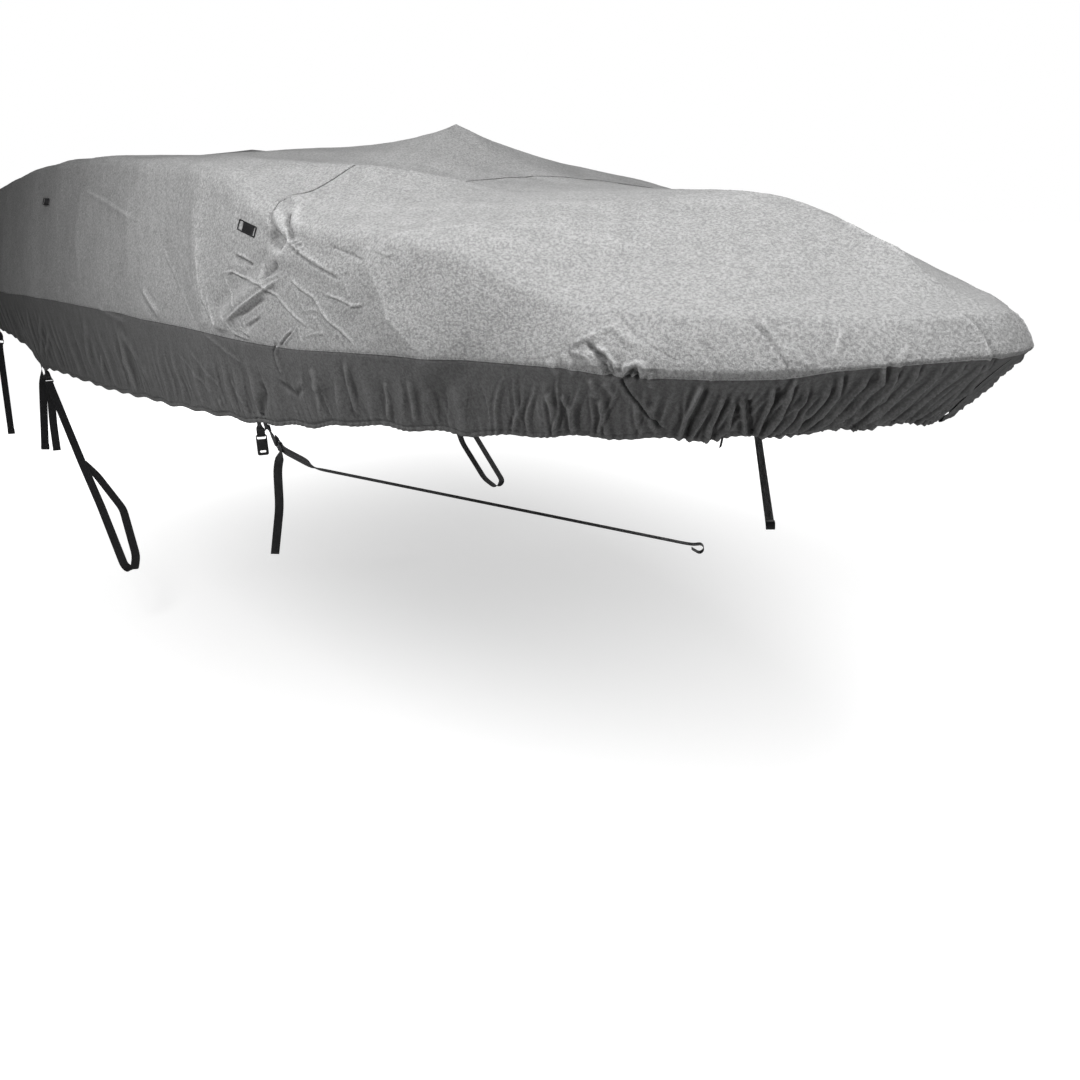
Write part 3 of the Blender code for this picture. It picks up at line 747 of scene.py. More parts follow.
CONSOLE_CREASES = creases(Profile.RIDGE,
    (14, 14.5, 0.2, 2038, 357, 2028, 334, 1990, 306, 1946, 279),
    (4.4, -11, 0.1, 2078, 347, 2050, 320, 2022, 293, 1984, 282, 1946, 266),
    (2.8, -7, 0.12, 1946, 266, 1908, 248, 1858, 227, 1804, 207, 1736, 185, 1688, 170),
    (5.5, 3, 0.15, 1936, 268, 1898, 250, 1848, 232, 1796, 213, 1738, 194),
    (4, -7.5, 0.15, 2092, 371, 2096, 392, 2046, 379, 2004, 369, 1982, 365),
    (6.6, -21, 0.15, 1980, 344, 1974, 323, 1954, 300, 1930, 276),
    (6, -16, 0.2, 1942, 298, 1924, 276),
    (14, 6, 0.25, 1972, 363, 1950, 339, 1906, 293),
    (2.6, 6.2, 0.15, 1936, 261, 1896, 272),
    (2.6, 6.2, 0.15, 1916, 252, 1876, 267),
    (2.6, 5.2, 0.15, 1898, 240, 1860, 256),
    (2.6, 2.6, 0.15, 1876, 232, 1844, 245),
    (20, -25, 0.25, 2062, 289, 1996, 271, 1946, 253),
    (4.4, -11, 0.15, 2236, 219, 2184, 213, 2128, 199),
    (6, -5, 0.2, 2226, 209, 2170, 202),
    (3.4, 2.6, 0.2, 2222, 225, 2168, 218, 2128, 206),
    (19, -21, 0.25, 2078, 175, 2014, 194, 1962, 215),
    (4.1, 4.5, 0.2, 2042, 170, 1998, 175, 1960, 188),
    (5.2, 7.5, 0.12, 1968, 172, 2014, 152, 2068, 126, 2140, 91, 2196, 58, 2240, 35),
    (6.2, -7.5, 0.2, 2030, 119, 2074, 101, 2126, 75, 2184, 54),
    (6, -5.5, 0.2, 2056, 64, 2098, 47, 2142, 25),
    (4.1, 2.6, 0.2, 2036, 84, 2076, 61, 2130, 40),
    (3, 2.6, 0.2, 2306, 163, 2236, 176),
    (3, 3.2, 0.15, 2278, 160, 2260, 127, 2226, 98, 2182, 78),
    (3, -4, 0.2, 2206, 38, 2198, 17),
    (3.3, 3.6, 0.15, 1834, 89, 1802, 97, 1774, 94, 1750, 81, 1728, 65),
    (3.3, 3.2, 0.15, 1820, 79, 1786, 75, 1760, 50, 1746, 28),
    (3.3, 3.6, 0.15, 1938, -4, 1888, 32, 1862, 55),
    (3.3, 3.4, 0.15, 1868, 55, 1854, 29, 1842, 4),
    (3.1, 3.4, 0.15, 1830, 26, 1790, 35, 1752, 38),
    (3, 2.6, 0.15, 1826, 35, 1790, 44),
    (3, 3.2, 0.15, 1674, 88, 1654, 99, 1626, 107),
    (3.1, 3, 0.15, 1690, 43, 1664, 16),
    (3.3, -3.2, 0.15, 1760, 254, 1716, 245, 1682, 236, 1634, 223, 1590, 210),
    (6, 1.8, 0.15, 1590, 210, 1550, 170, 1514, 122, 1494, 79, 1442, 44, 1384, 3),
    (3.1, 2.6, 0.15, 1682, 176, 1648, 135, 1638, 123),
    (3.4, 2.2, 0.15, 1564, 240, 1520, 224, 1482, 228),
    (3, -3.6, 0.15, 1676, 184, 1650, 177),
    (3.7, 2.4, 0.15, 2502, 418, 2510, 318, 2482, 215, 2442, 132, 2412, 62, 2380, 32),
    (4.1, 4, 0.15, 2392, 100, 2366, 51, 2314, 4),
    (3.3, 1.8, 0.2, 2266, 445, 2264, 321, 2248, 226),
    (3.7, 1.4, 0.2, 2326, 402, 2406, 330, 2422, 269),
    (3.7, 2.4, 0.15, 2842, 237, 2662, 140, 2546, 54, 2480, 4),
    (4, 2.7, 0.15, 2946, 91, 2812, 29, 2776, -4),
    (5.4, 1.4, 0.2, 2688, 231, 2560, 168, 2464, 93),
    (8, 3.6, 0.2, 3854, 439, 3554, 388, 3280, 336, 3086, 309),
    (8, 4, 0.2, 3494, -4, 3270, -33, 3150, -39),
    (3.3, 3.2, 0.2, 2166, 53, 2144, 33, 2118, 4),
) + creases(Profile.ROLL,
    (3.4, 4.6, 0.1, 2280, 160, 2234, 176, 2184, 164, 2064, 155, 2030, 140, 1982, 129, 1928, 99, 1870, 71,
     1816, 54),
    (3.4, 3.6, 0.15, 2426, 126, 2412, 82, 2372, 46, 2312, 4),
    (3.3, 4.2, 0.15, 2286, 62, 2246, 35, 2232, 13, 2204, -13),
    (3.3, 4.2, 0.15, 2180, 46, 2156, 17, 2114, 4),
    (3.7, 5, 0.1, 1916, 174, 1866, 151, 1798, 126, 1764, 96, 1728, 71),
    (3.3, 3.8, 0.12, 1908, 166, 1870, 129, 1840, 92, 1828, 86),
    (3.7, 5, 0.15, 1964, -4, 1924, 26, 1896, 42),
    (6, 6, 0.12, 1968, -4, 1996, -31, 1994, -63, 1986, -90),
    (3.4, 4.2, 0.12, 1750, 136, 1732, 132, 1684, 122, 1632, 107, 1614, 107, 1582, 111),
    (3.7, 4.8, 0.12, 1750, 84, 1726, 68, 1688, 52, 1660, 37, 1630, 22, 1614, 4),
    (3.7, 3.7, 0.15, 2240, 35, 2206, 4, 2124, -4),
)

CLEAT_CREASES = creases(Profile.RIDGE,
    (6, -13, 0.15, 934, 50, 910, 37, 888, 18, 884, -8, 866, -24),
    (8, 6, 0.2, 910, 70, 884, 83, 854, 66, 812, 44),
    (7, 4.5, 0.2, 966, 45, 940, 57, 910, 70),
    (7, 4, 0.2, 970, 32, 928, 23, 906, -2),
    (6, -15, 0.2, 844, -18, 830, -8, 818, -11, 820, -27),
    (7, 8, 0.2, 808, 20, 788, -2, 778, -14),
    (8, 6, 0.2, 798, -14, 784, -26, 792, -42),
    (3.6, -12.5, 0.08, 854, -18, 842, -47, 806, -102, 774, -143),
    (3.4, 6.5, 0.08, 848, -18, 832, -49, 798, -102, 768, -140),
    (9, 5, 0.2, 996, 26, 972, 5, 956, -24),
    (9, 4.5, 0.2, 1028, 13, 1012, -8, 998, -28),
    (5, 2.5, 0.2, 914, 104, 888, 96),
    (5, 2.5, 0.2, 756, 73, 730, 52),
    (3, -1.6, 0.08, 908, 125, 848, 85, 782, 45, 726, 16),
    (10, 7, 0.2, 924, -21, 914, -52, 922, -75),
    (8, 6, 0.2, 894, -28, 880, -48, 868, -71),
) + creases(Profile.ROLL,
    (6, 9, 0.15, 914, 44, 882, 33, 862, 11, 854, -18),
    (6.5, 11, 0.12, 854, -18, 834, 7, 810, 15, 802, -2, 812, -20),
)

BOW_CREASES = creases(Profile.RIDGE,
    (7, 5, 0.15, 564, 101, 528, 60, 502, 12),
    (6, 4.5, 0.2, 672, 27, 660, 6, 656, -24),
    (6, 4.5, 0.2, 510, 53, 478, 18, 462, 5),
    (6, 4.5, 0.2, 420, 9, 400, 54, 388, 77),
    (6, 4, 0.2, 284, -14, 278, 14, 264, 25),
) + creases(Profile.ROLL,
    (3.6, -5, 0.1, 578, 94, 544, 61, 514, 20, 502, -11),
    (5, -6, 0.1, 124, 86, 96, 52, 80, 4, 56, -41),
    (6, 8, 0.12, 486, -14, 492, -42, 526, -88),
)

BOW_GATHERS = creases(Profile.RIDGE,
    (7.6, 9.5, 0.15, 788, -189, 800, -108, 792, -74),
    (7.6, 8.1, 0.15, 826, -189, 830, -107, 822, -68),
    (8.5, 9.5, 0.15, 912, -196, 908, -105, 908, -65),
    (9.3, 10.8, 0.15, 1000, -199, 990, -103, 1006, -64),
    (9.3, 10.8, 0.15, 1045, -202, 1032, -100, 1040, -60),
) + creases(Profile.ROLL,
    (5.9, 16.2, 0.1, 678, -202, 656, -116, 638, -73, 628, -54),
    (5.9, 13.5, 0.1, 664, -201, 618, -118, 606, -68),
    (6.8, 16.2, 0.1, 575, -159, 592, -62),
    (5.9, 14.9, 0.1, 557, -161, 530, -63, 530, -32),
    (5.9, 16.2, 0.1, 558, -198, 508, -108, 498, -64, 494, -23),
    (5.1, 12.1, 0.1, 547, -197, 478, -108, 460, -60, 458, -35),
    (5.5, 14.9, 0.1, 523, -195, 448, -109, 422, -71, 412, -32),
    (5.5, 16.2, 0.1, 497, -193, 414, -104, 392, -55, 396, -10),
    (5.1, 16, 0.1, 494, -191, 388, -115, 362, -68, 334, -17),
    (5.9, 20.8, 0.1, 470, -186, 350, -106, 328, -55, 308, -33, 314, 1),
    (5.1, 16, 0.1, 394, -191, 314, -106, 286, -53, 278, -11),
    (4.7, 13.6, 0.1, 344, -194, 268, -104, 242, -49, 236, -4),
    (4.7, 13.6, 0.1, 296, -199, 224, -109, 192, -45, 180, -11),
    (4.7, 12.8, 0.1, 251, -202, 174, -108, 144, -46, 134, -8),
    (4.3, 11.2, 0.1, 164, -205, 124, -106, 96, -51, 88, -11),
    (4.3, 9.6, 0.1, 72, -198, 56, -91, 56, -41, 74, -2),
    (6.8, 16.2, 0.1, 749, -195, 718, -111, 692, -63, 674, -27),
    (5.1, 10.8, 0.15, 733, -200, 686, -124, 662, -84),
)

DRAG_LINES = creases(Profile.RIDGE,
    (6, 3.2, 0.2, 2710, -103, 2526, -197, 2460, -224),
    (6, 3.2, 0.2, 2588, -81, 2402, -197),
    (6, 5, 0.2, 2326, -150, 2292, -193, 2262, -232),
    (6, 3.6, 0.2, 2430, -13, 2308, -51, 2200, -89),
    (8, -5, 0.2, 2022, -110, 1942, -145, 1876, -110),
    (16, 7, 0.25, 1822, -50, 1818, -96, 1840, -131),
    (9, 8, 0.2, 1664, -25, 1684, -97, 1688, -193),
    (9, 8, 0.2, 1530, -71, 1546, -136, 1574, -196),
    (9, 7, 0.2, 1440, -61, 1458, -139, 1468, -195),
    (10, 6, 0.2, 3646, -205, 3680, -256, 3710, -294),
    (10, 5, 0.2, 3312, -192, 3364, -259),
    (8, 5, 0.2, 5200, -198, 5160, -261),
    (14, 7, 0.2, 4512, -173, 4850, -351),
    (18, -8, 0.2, 2132, -124, 2124, -168, 2208, -253),
    (6, 5, 0.2, 2448, -223, 2446, -267, 2372, -285),
)

WALL_CREASES = creases(Profile.ROLL,
    (14, 5, 0.25, 2961, 95, 2760, 4),
) + creases(Profile.ROOF,
    (100, 8, 0.25, 2569, 400, 2509, 250, 2418, 20),
    (60, 6, 0.25, 3300, 420, 3160, 250, 3060, 60),
    (80, 6, 0.25, 3901, 460, 3820, 250, 3700, 50),
    (110, 20, 0.2, 1640, 270, 1596, 211, 1534, 145, 1494, 80, 1442, 46, 1386, 4, 1310, -90),
)

SKIRT_CREASES = creases(Profile.RIDGE,
    (30, 7, 0.25, 3300, -60, 3160, -160, 3060, -280),
    (30, 7, 0.25, 3700, -50, 3820, -180, 3901, -300),
    (20, 8, 0.25, 4551, -80, 4781, -220, 4961, -360),
    (16, 8, 0.25, 4901, -60, 4971, -200, 5006, -370),
    (18, 8, 0.25, 5201, -80, 5121, -200, 5031, -350),
)

SHARED_CREASES = WALL_CREASES + BOW_CREASES + BOW_GATHERS + SKIRT_CREASES
CREASES = {
    STARBOARD: SHARED_CREASES + CONSOLE_CREASES + CLEAT_CREASES + DRAG_LINES,
    PORT: SHARED_CREASES,
}

GATHERS = (
    Gathers(0.03, 0.62, 0.021, 0.0085, 0.0042, 0.02, 0.50),
    Gathers(0.62, 1.15, 0.026, 0.0062, 0.0050, 0.04, 0.40),
    Gathers(1.05, 3.30, 0.110, 0.0080, 0.0220, 0.05, 0.10),
    Gathers(0.95, 3.40, 0.034, 0.0030, 0.0070, 0.60, 0.00),
    Gathers(3.30, 8.40, 0.120, 0.0070, 0.0300, 0.05, 0.03),
    Gathers(3.35, 8.40, 0.055, 0.0024, 0.0110, 0.60, 0.00),
)

WALL_RIPPLES = (Ripples(3, 0.42, 0.0022), Ripples(5, 0.13, 0.0006), Ripples(7, 0.045, 0.00025))
HANGS_BELOW = 0.01
CALM_SHARE = (0.86, 1.0)
CALM_DEPTH = (0.72, 0.22)
CALM_REACH = (1.2, 2.2)
STEM_REACH = (-0.02, 0.06)
PUCKER_DEPTH = 0.0014
PUCKER_COUNT = 225.0
PUCKER_DRIFT = (2.2, 41.0)
PUCKER_FALL = 9.0
PUCKER_REACH = (1.9, 2.7)
END_FADE = {STARBOARD: 0.03, PORT: 0.15}
STERN_FADE = 0.10


def relief(reach: Array, girth: Array, side: Side) -> Array:
    """How far folds, creases and gathers lift the cloth from its plain form.

    Args:
        reach: Distances along the rail.
        girth: Distances up the cloth from the rail, below 0 on the skirt.
        side: Side of the boat.

    Returns:
        One height for each point, outward.
    """
    total = np.zeros(reach.shape)
    for ripple in WALL_RIPPLES:
        total += ripple.height(reach + 3.0 * side.value, girth)
    for crease in CREASES[side]:
        reaches, heights = zip(*crease.points)
        margin = (5.0 if crease.profile is Profile.ROOF else 3.0) * crease.width
        near = (reach > min(reaches) - margin) & (reach < max(reaches) + margin)
        near &= (girth > min(heights) - margin) & (girth < max(heights) + margin)
        if near.any():
            total[near] += crease.height(reach[near], girth[near])
    hanging = girth < HANGS_BELOW
    if hanging.any():
        share = np.maximum(-girth, 0.0) / FORM.hem_drop(reach, side)
        for index, run in enumerate(GATHERS):
            seed = 20 + 10 * index + side.value
            total[hanging] += run.height(reach[hanging], girth[hanging], share[hanging], seed)
        calm = CALM_DEPTH[0] + CALM_DEPTH[1] * ease(reach, *CALM_REACH)
        calm = 1 - calm * ease(share, *CALM_SHARE)
        total = np.where(hanging, total * calm * ease(reach, *STEM_REACH), total)
        drift = PUCKER_DRIFT[0] * np.sin(reach * PUCKER_DRIFT[1])
        pucker = np.sin(reach * PUCKER_COUNT + drift) * np.exp((share - 1) * PUCKER_FALL)
        total += PUCKER_DEPTH * pucker * hanging * (1 - ease(reach, *PUCKER_REACH))
    ends = ease(reach, 0.0, END_FADE[side]) * ease(FORM.length - reach, 0.0, STERN_FADE)
    return total * ends


# ---- finishes


def new_group(name: str, inputs: dict[str, float], outputs: Sequence[str]) -> Tree:
    """Empty node group with number sockets.

    Args:
        name: The group's name.
        inputs: Its inputs and their usual values.
        outputs: Its outputs.

    Returns:
        The group, with its input and output nodes inside.
    """
    group = bpy.data.node_groups.new(name, "ShaderNodeTree")
    for label, value in inputs.items():
        socket = group.interface.new_socket(label, in_out="INPUT", socket_type="NodeSocketFloat")
        socket.default_value = value
    for label in outputs:
        group.interface.new_socket(label, in_out="OUTPUT", socket_type="NodeSocketFloat")
    group.nodes.new("NodeGroupInput")
    group.nodes.new("NodeGroupOutput")
    return group


def add(tree: Tree, kind: str, settings: dict | None = None, **links: object) -> Node:
    """Node with its settings and inputs.

    Args:
        tree: The tree that it goes in.
        kind: The node's type, without the ShaderNode prefix.
        settings: Properties of the node.
        links: Its inputs by name, with _ for a space, each a socket or a value.

    Returns:
        The node.
    """
    node = tree.nodes.new("ShaderNode" + kind)
    for name, value in (settings or {}).items():
        setattr(node, name, value)
    for name, value in links.items():
        socket = node.inputs[int(name[1:])] if name[0] == "i" else node.inputs[name.replace("_", " ")]
        if isinstance(value, Socket):
            tree.links.new(value, socket)
        else:
            socket.default_value = value
    return node


def maths(tree: Tree, operation: str, *values: object) -> Socket:
    """Result of a Math node on up to three sockets or numbers."""
    named = {f"i{index}": value for index, value in enumerate(values)}
    return add(tree, "Math", {"operation": operation}, **named).outputs[0]


def noise(tree: Tree, place: Socket, scale: object, detail: float, rough: float) -> Socket:
    """Noise from 0 to 1 at a place."""
    node = add(tree, "TexNoise", None, Vector=place, Scale=scale, Detail=detail, Roughness=rough)
    return node.outputs["Fac"]


def pass_out(group: Tree, **sockets: Socket) -> Tree:
    """Link sockets to a group's outputs of the same names.

    Args:
        group: The group.
        sockets: Each socket, under the name of its output.

    Returns:
        The group.
    """
    for name, socket in sockets.items():
        group.links.new(socket, group.nodes["Group Output"].inputs[name])
    return group


def new_material(name: str, **levels: object) -> tuple[Material, Tree, Node]:
    """Material with only its main shader.

    Args:
        name: The material's name.
        levels: Values of the shader's inputs by name, with _ for a space.

    Returns:
        The material, its tree and its main shader.
    """
    material = bpy.data.materials.new(name)
    material.use_nodes = True
    shader = material.node_tree.nodes["Principled BSDF"]
    for label, value in levels.items():
        shader.inputs[label.replace("_", " ")].default_value = value
    return material, material.node_tree, shader


def grain_group() -> Tree:
    """Grain of coated polyester: fine pebbles and the slight crumple of a thin stiff cloth.

    Returns:
        The group.
    """
    group = new_group("cloth_grain", {"Pebbles": 130.0, "Crumple": 14.0}, ("Height", "Tone", "Patch"))
    size, wide = (group.nodes["Group Input"].outputs[name] for name in ("Pebbles", "Crumple"))
    place = add(group, "TexCoord").outputs["Object"]
    pebbles = noise(group, place, size, 2.0, 0.6)
    fine = noise(group, place, maths(group, "MULTIPLY", size, 3.1), 1.0, 0.5)
    coarse = noise(group, place, maths(group, "MULTIPLY", size, 0.5), 1.0, 0.5)
    crumple = noise(group, place, wide, 2.0, 0.5)
    patch = noise(group, place, 2.3, 2.0, 0.5)
    ridged = maths(group, "ABSOLUTE", maths(group, "SUBTRACT", crumple, 0.5))
    height = maths(group, "MULTIPLY_ADD", fine, 0.35, pebbles)
    height = maths(group, "MULTIPLY_ADD", ridged, -0.6, height)
    tone = maths(group, "MULTIPLY_ADD", pebbles, 0.50, maths(group, "MULTIPLY", fine, 0.35))
    tone = maths(group, "MULTIPLY_ADD", coarse, 0.15, tone)
    return pass_out(group, Height=height, Tone=tone, Patch=patch)


def weave_group() -> Tree:
    """Weave of webbing from its own map: fine ribs in a herringbone and fine lines along its length.

    Returns:
        The group.
    """
    group = new_group("webbing_ribs", {"Pitch": 0.0024, "Width": 0.038}, ("Height", "Tone"))
    pitch, width = (group.nodes["Group Input"].outputs[name] for name in ("Pitch", "Width"))
    spot = add(group, "SeparateXYZ", None, Vector=add(group, "UVMap", {"uv_map": "cloth"}).outputs[0])
    along, across = spot.outputs["X"], spot.outputs["Y"]
    zigzag = maths(group, "PINGPONG", across, maths(group, "MULTIPLY", width, 0.125))
    slant = maths(group, "MULTIPLY_ADD", zigzag, 0.9, along)
    turns = maths(group, "DIVIDE", slant, pitch)
    ribs = maths(group, "SINE", maths(group, "MULTIPLY", turns, 2 * math.pi))
    rows = maths(group, "SINE", maths(group, "MULTIPLY", across, 2 * math.pi / 0.0017))
    height = maths(group, "MULTIPLY_ADD", rows, 0.35, ribs)
    place = add(group, "TexCoord").outputs["Object"]
    tone = maths(group, "MULTIPLY_ADD", ribs, 0.25, noise(group, place, 60.0, 2.0, 0.5))
    return pass_out(group, Height=height, Tone=tone)


@dataclass(frozen=True)
class Finish:
    """Finish of one kind of piece, with the values that every finish has."""

    name: str
    slot: str
    dark: tuple[float, float, float]
    light: tuple[float, float, float]
    roughness: float
    bump: float

    def blend(self, tree: Tree, factor: Socket, low: float, high: float) -> Socket:
        """Colour that runs from dark to light as a factor goes from low to high.

        Args:
            tree: The material's tree.
            factor: What the colour follows.
            low: Value at the dark colour.
            high: Value at the light colour.

        Returns:
            The colour.
        """
        span = add(tree, "MapRange", None, Value=factor, From_Min=low, From_Max=high)
        ramp = add(tree, "Mix", {"data_type": "RGBA"}, i0=span.outputs[0])
        ramp.inputs[6].default_value = (*self.dark, 1.0)
        ramp.inputs[7].default_value = (*self.light, 1.0)
        return ramp.outputs[2]

    def raise_grain(self, tree: Tree, shader: Node, height: Socket, depth: float) -> None:
        """Feed a height to the shader's normal."""
        bump = add(tree, "Bump", None, Height=height, Strength=self.bump, Distance=depth)
        tree.links.new(bump.outputs[0], shader.inputs["Normal"])


@dataclass(frozen=True)
class ClothFinish(Finish):
    """Coated polyester cloth, with painted shade in its fold hollows and painted highlight on its ridges."""

    pebbles: float = 150.0
    crumple: float = 14.0
    depth: float = 0.0034
    # Span of fold heights over which the colour runs from painted shade in hollows to painted highlight on
    # ridges.
    cavity: float = 0.0030
    hollow_shade: float = 0.55
    ridge_shade: float = 1.35

    def make(self, grain: Tree) -> Look:
        """Material of this cloth, with the shared grain.

        Args:
            grain: The shared grain.

        Returns:
            The material and its slot.
        """
        material, tree, shader = new_material(self.name, Roughness=self.roughness,
                                              Specular_IOR_Level=0.25, Sheen_Weight=0.08)
        group = add(tree, "Group", {"node_tree": grain}, Pebbles=self.pebbles, Crumple=self.crumple)
        tone = maths(tree, "MULTIPLY_ADD", group.outputs["Patch"], 0.08, group.outputs["Tone"])
        # Painted shade and highlight: the fold map darkens the base colour in hollows and lightens it on
        # ridges.
        fold = add(tree, "SeparateXYZ", None, Vector=add(tree, "UVMap", {"uv_map": "fold"}).outputs[0])
        shade = add(tree, "MapRange", None, Value=fold.outputs["X"], From_Min=-self.cavity,
                    From_Max=self.cavity, To_Min=self.hollow_shade, To_Max=self.ridge_shade)
        colour = add(tree, "VectorMath", {"operation": "SCALE"}, i0=self.blend(tree, tone, 0.45, 0.63),
                     Scale=shade.outputs[0])
        tree.links.new(colour.outputs[0], shader.inputs["Base Color"])
        self.raise_grain(tree, shader, group.outputs["Height"], self.depth)
        return material, self.slot


@dataclass(frozen=True)
class WebbingFinish(Finish):
    """Woven polypropylene webbing."""

    pitch: float = 0.0024
    width: float = 0.038

    def make(self, weave: Tree) -> Look:
        """Material of this webbing, with the shared weave.

        Args:
            weave: The shared weave.

        Returns:
            The material and its slot.
        """
        material, tree, shader = new_material(self.name, Roughness=self.roughness,
                                              Specular_IOR_Level=0.35, Sheen_Weight=0.15)
        group = add(tree, "Group", {"node_tree": weave}, Pitch=self.pitch, Width=self.width)
        tree.links.new(self.blend(tree, group.outputs["Tone"], 0.1, 0.9), shader.inputs["Base Color"])
        self.raise_grain(tree, shader, group.outputs["Height"], 0.0004)
        return material, self.slot


@dataclass(frozen=True)
class PlasticFinish(Finish):
    """Moulded plastic with a fine spark texture, paler and rougher in random specks."""

    def make(self, grain: Tree) -> Look:
        """Material of this plastic, with the shared grain.

        Args:
            grain: The shared grain.

        Returns:
            The material and its slot.
        """
        material, tree, shader = new_material(self.name)
        group = add(tree, "Group", {"node_tree": grain}, Pebbles=900.0, Crumple=60.0)
        tree.links.new(self.blend(tree, group.outputs["Tone"], 0.3, 0.9), shader.inputs["Base Color"])
        rough = add(tree, "MapRange", None, Value=group.outputs["Tone"], To_Min=self.roughness - 0.08,
                    To_Max=self.roughness + 0.1)
        tree.links.new(rough.outputs[0], shader.inputs["Roughness"])
        self.raise_grain(tree, shader, group.outputs["Height"], 0.0002)
        return material, self.slot


class Finishes:
    """Every finish of the cover, each made once."""

    def __init__(self) -> None:
        """Make the shared groups and the materials."""
        grain, weave = grain_group(), weave_group()
        self.top = ClothFinish(
            "pale_cloth", "top_cloth", (0.31, 0.31, 0.31), (0.53, 0.53, 0.53), 0.82, 1.0,
            depth=0.0028, hollow_shade=0.78, ridge_shade=1.14,
        ).make(grain)
        # The skirt is the same pale cloth as the top; its darker colours are painted shade, for cloth that
        # turns under the rail away from the light.
        self.skirt = ClothFinish(
            "dark_cloth", "skirt_cloth", (0.125, 0.125, 0.125), (0.180, 0.180, 0.180), 0.82, 0.6
        ).make(grain)
        self.webbing = WebbingFinish(
            "black_webbing", "webbing_weave", (0.010, 0.010, 0.011), (0.024, 0.024, 0.026), 0.7, 0.6
        ).make(weave)
        self.plastic = PlasticFinish(
            "black_plastic", "buckle_plastic", (0.014, 0.014, 0.015), (0.028, 0.028, 0.030), 0.42, 0.3
        ).make(grain)
        self.thread = WebbingFinish(
            "grey_thread", "skirt_cloth", (0.10, 0.10, 0.10), (0.16, 0.16, 0.16), 0.8, 0.2
        ).make(weave)


# ---- meshes


def put(name: str, data: bpy.types.ID) -> bpy.types.Object:
    """Object with this data, put in the scene.

    Args:
        name: The object's name.
        data: Its mesh, curve, light or camera.

    Returns:
        The object.
    """
    made = bpy.data.objects.new(name, data)
    bpy.context.scene.collection.objects.link(made)
    return made


def to_mesh(name: str, shape: bmesh.types.BMesh) -> Mesh:
    """Smooth mesh of a shape, which is freed.

    Args:
        name: The mesh's name.
        shape: The shape.

    Returns:
        The mesh.
    """
    mesh = bpy.data.meshes.new(name)
    shape.to_mesh(mesh)
    shape.free()
    mesh.shade_smooth()
    return mesh


def add_piece(name: str, mesh: Mesh, look: Look, nodes: Sequence[str] = ()) -> bpy.types.Object:
    """Put a piece in the scene, with its finish, on the cover's one body.

    Args:
        name: The piece's name.
        mesh: Its mesh.
        look: Its material, and the record's slot of that material.
        nodes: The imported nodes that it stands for.

    Returns:
        The piece.
    """
    material, slot = look
    mesh.materials.append(material)
    piece = put(name, mesh)
    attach(piece, "root")
    if nodes:
        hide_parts(*nodes)
    LOG.info("%s: %d faces", name, len(mesh.polygons))
    return piece


def grid_mesh(name: str, points: Array, places: Array, folds: Array) -> Mesh:
    """Sheet from a grid of points, facing the side to which rows turn before columns.

    Args:
        name: The mesh's name.
        points: Rows by columns by 3.
        places: Rows by columns by 2, the map that weaves follow, in metres.
        folds: Rows by columns, how far each point stands out from the cloth around it.

    Returns:
        The mesh, with rows that meet merged.
    """
    rows, columns = points.shape[:2]
    grid = bmesh.new()
    bmesh.ops.create_grid(grid, x_segments=columns - 1, y_segments=rows - 1, size=0.5)
    mesh = to_mesh(name, grid)
    flat = np.empty(len(mesh.vertices) * 3)
    mesh.vertices.foreach_get("co", flat)
    flat = flat.reshape(-1, 3)
    column = np.rint((flat[:, 0] + 0.5) * (columns - 1)).astype(int)
    row = rows - 1 - np.rint((flat[:, 1] + 0.5) * (rows - 1)).astype(int)
    mesh.vertices.foreach_set("co", points[row, column].ravel())
    corners = np.empty(len(mesh.loops), int)
    mesh.loops.foreach_get("vertex_index", corners)
    for layer, values in (("cloth", places), ("fold", np.stack([folds, 0 * folds], -1))):
        values = values[row[corners], column[corners]]
        mesh.uv_layers.new(name=layer).data.foreach_set("uv", values.ravel())
    shape = bmesh.new()
    shape.from_mesh(mesh)
    bmesh.ops.remove_doubles(shape, verts=shape.verts, dist=0.00001)
    shape.to_mesh(mesh)
    shape.free()
    mesh.shade_smooth()
    return mesh


def unit(vectors: Array) -> Array:
    """Directions of the vectors in the last axis."""
    return vectors / np.maximum(np.linalg.norm(vectors, axis=-1, keepdims=True), 1e-12)


def normals(points: Array) -> Array:
    """Outward unit normals of a grid of points."""
    return unit(np.cross(np.gradient(points, axis=0), np.gradient(points, axis=1)))


def lengths_to(line: Array) -> Array:
    """Length of a line up to each of its points."""
    return np.concatenate([[0.0], np.cumsum(np.linalg.norm(np.diff(line, axis=0), axis=1))])


def sample(at: Array, lengths: Array, vectors: Array) -> Array:
    """Vectors at places along a line, from those at other lengths."""
    return np.stack([np.interp(at, lengths, values) for values in vectors.T], -1)


def smoothed(values: Array, reach: int) -> Array:
    """Values of a grid averaged over the points up to reach rows and columns away.

    Args:
        values: One value for each point.
        reach: How many rows and columns away the mean goes.

    Returns:
        One mean for each point.
    """
    for axis in (0, 1):
        width = [(reach + 1, reach) if number == axis else (0, 0) for number in (0, 1)]
        sums = np.cumsum(np.pad(values, width, mode="edge"), axis=axis)
        count = 2 * reach + 1
        ahead = np.take(sums, np.arange(count, sums.shape[axis]), axis=axis)
        behind = np.take(sums, np.arange(0, sums.shape[axis] - count), axis=axis)
        values = (ahead - behind) / count
    return values


def spaced(*runs: tuple[float, float, float]) -> Array:
    """Rising values from runs of start, end and pitch, each end left to the next run.

    Args:
        runs: Each run's start, end and pitch.

    Returns:
        The values.
    """
    parts = []
    for start, end, pitch in runs:
        parts.append(np.linspace(start, end, max(2, round((end - start) / pitch) + 1))[:-1])
    parts.append([runs[-1][1]])
    return np.concatenate(parts)


Row = tuple[Side, Zone, float | Array]


def rows_of(side: Side, zone: Zone, count: int, power: float) -> list[Row]:
    """Rows of one stretch, closer together at its start if power is over 1."""
    return [(side, zone, float(share)) for share in np.linspace(0.0, 1.0, count + 1)[:-1] ** power]


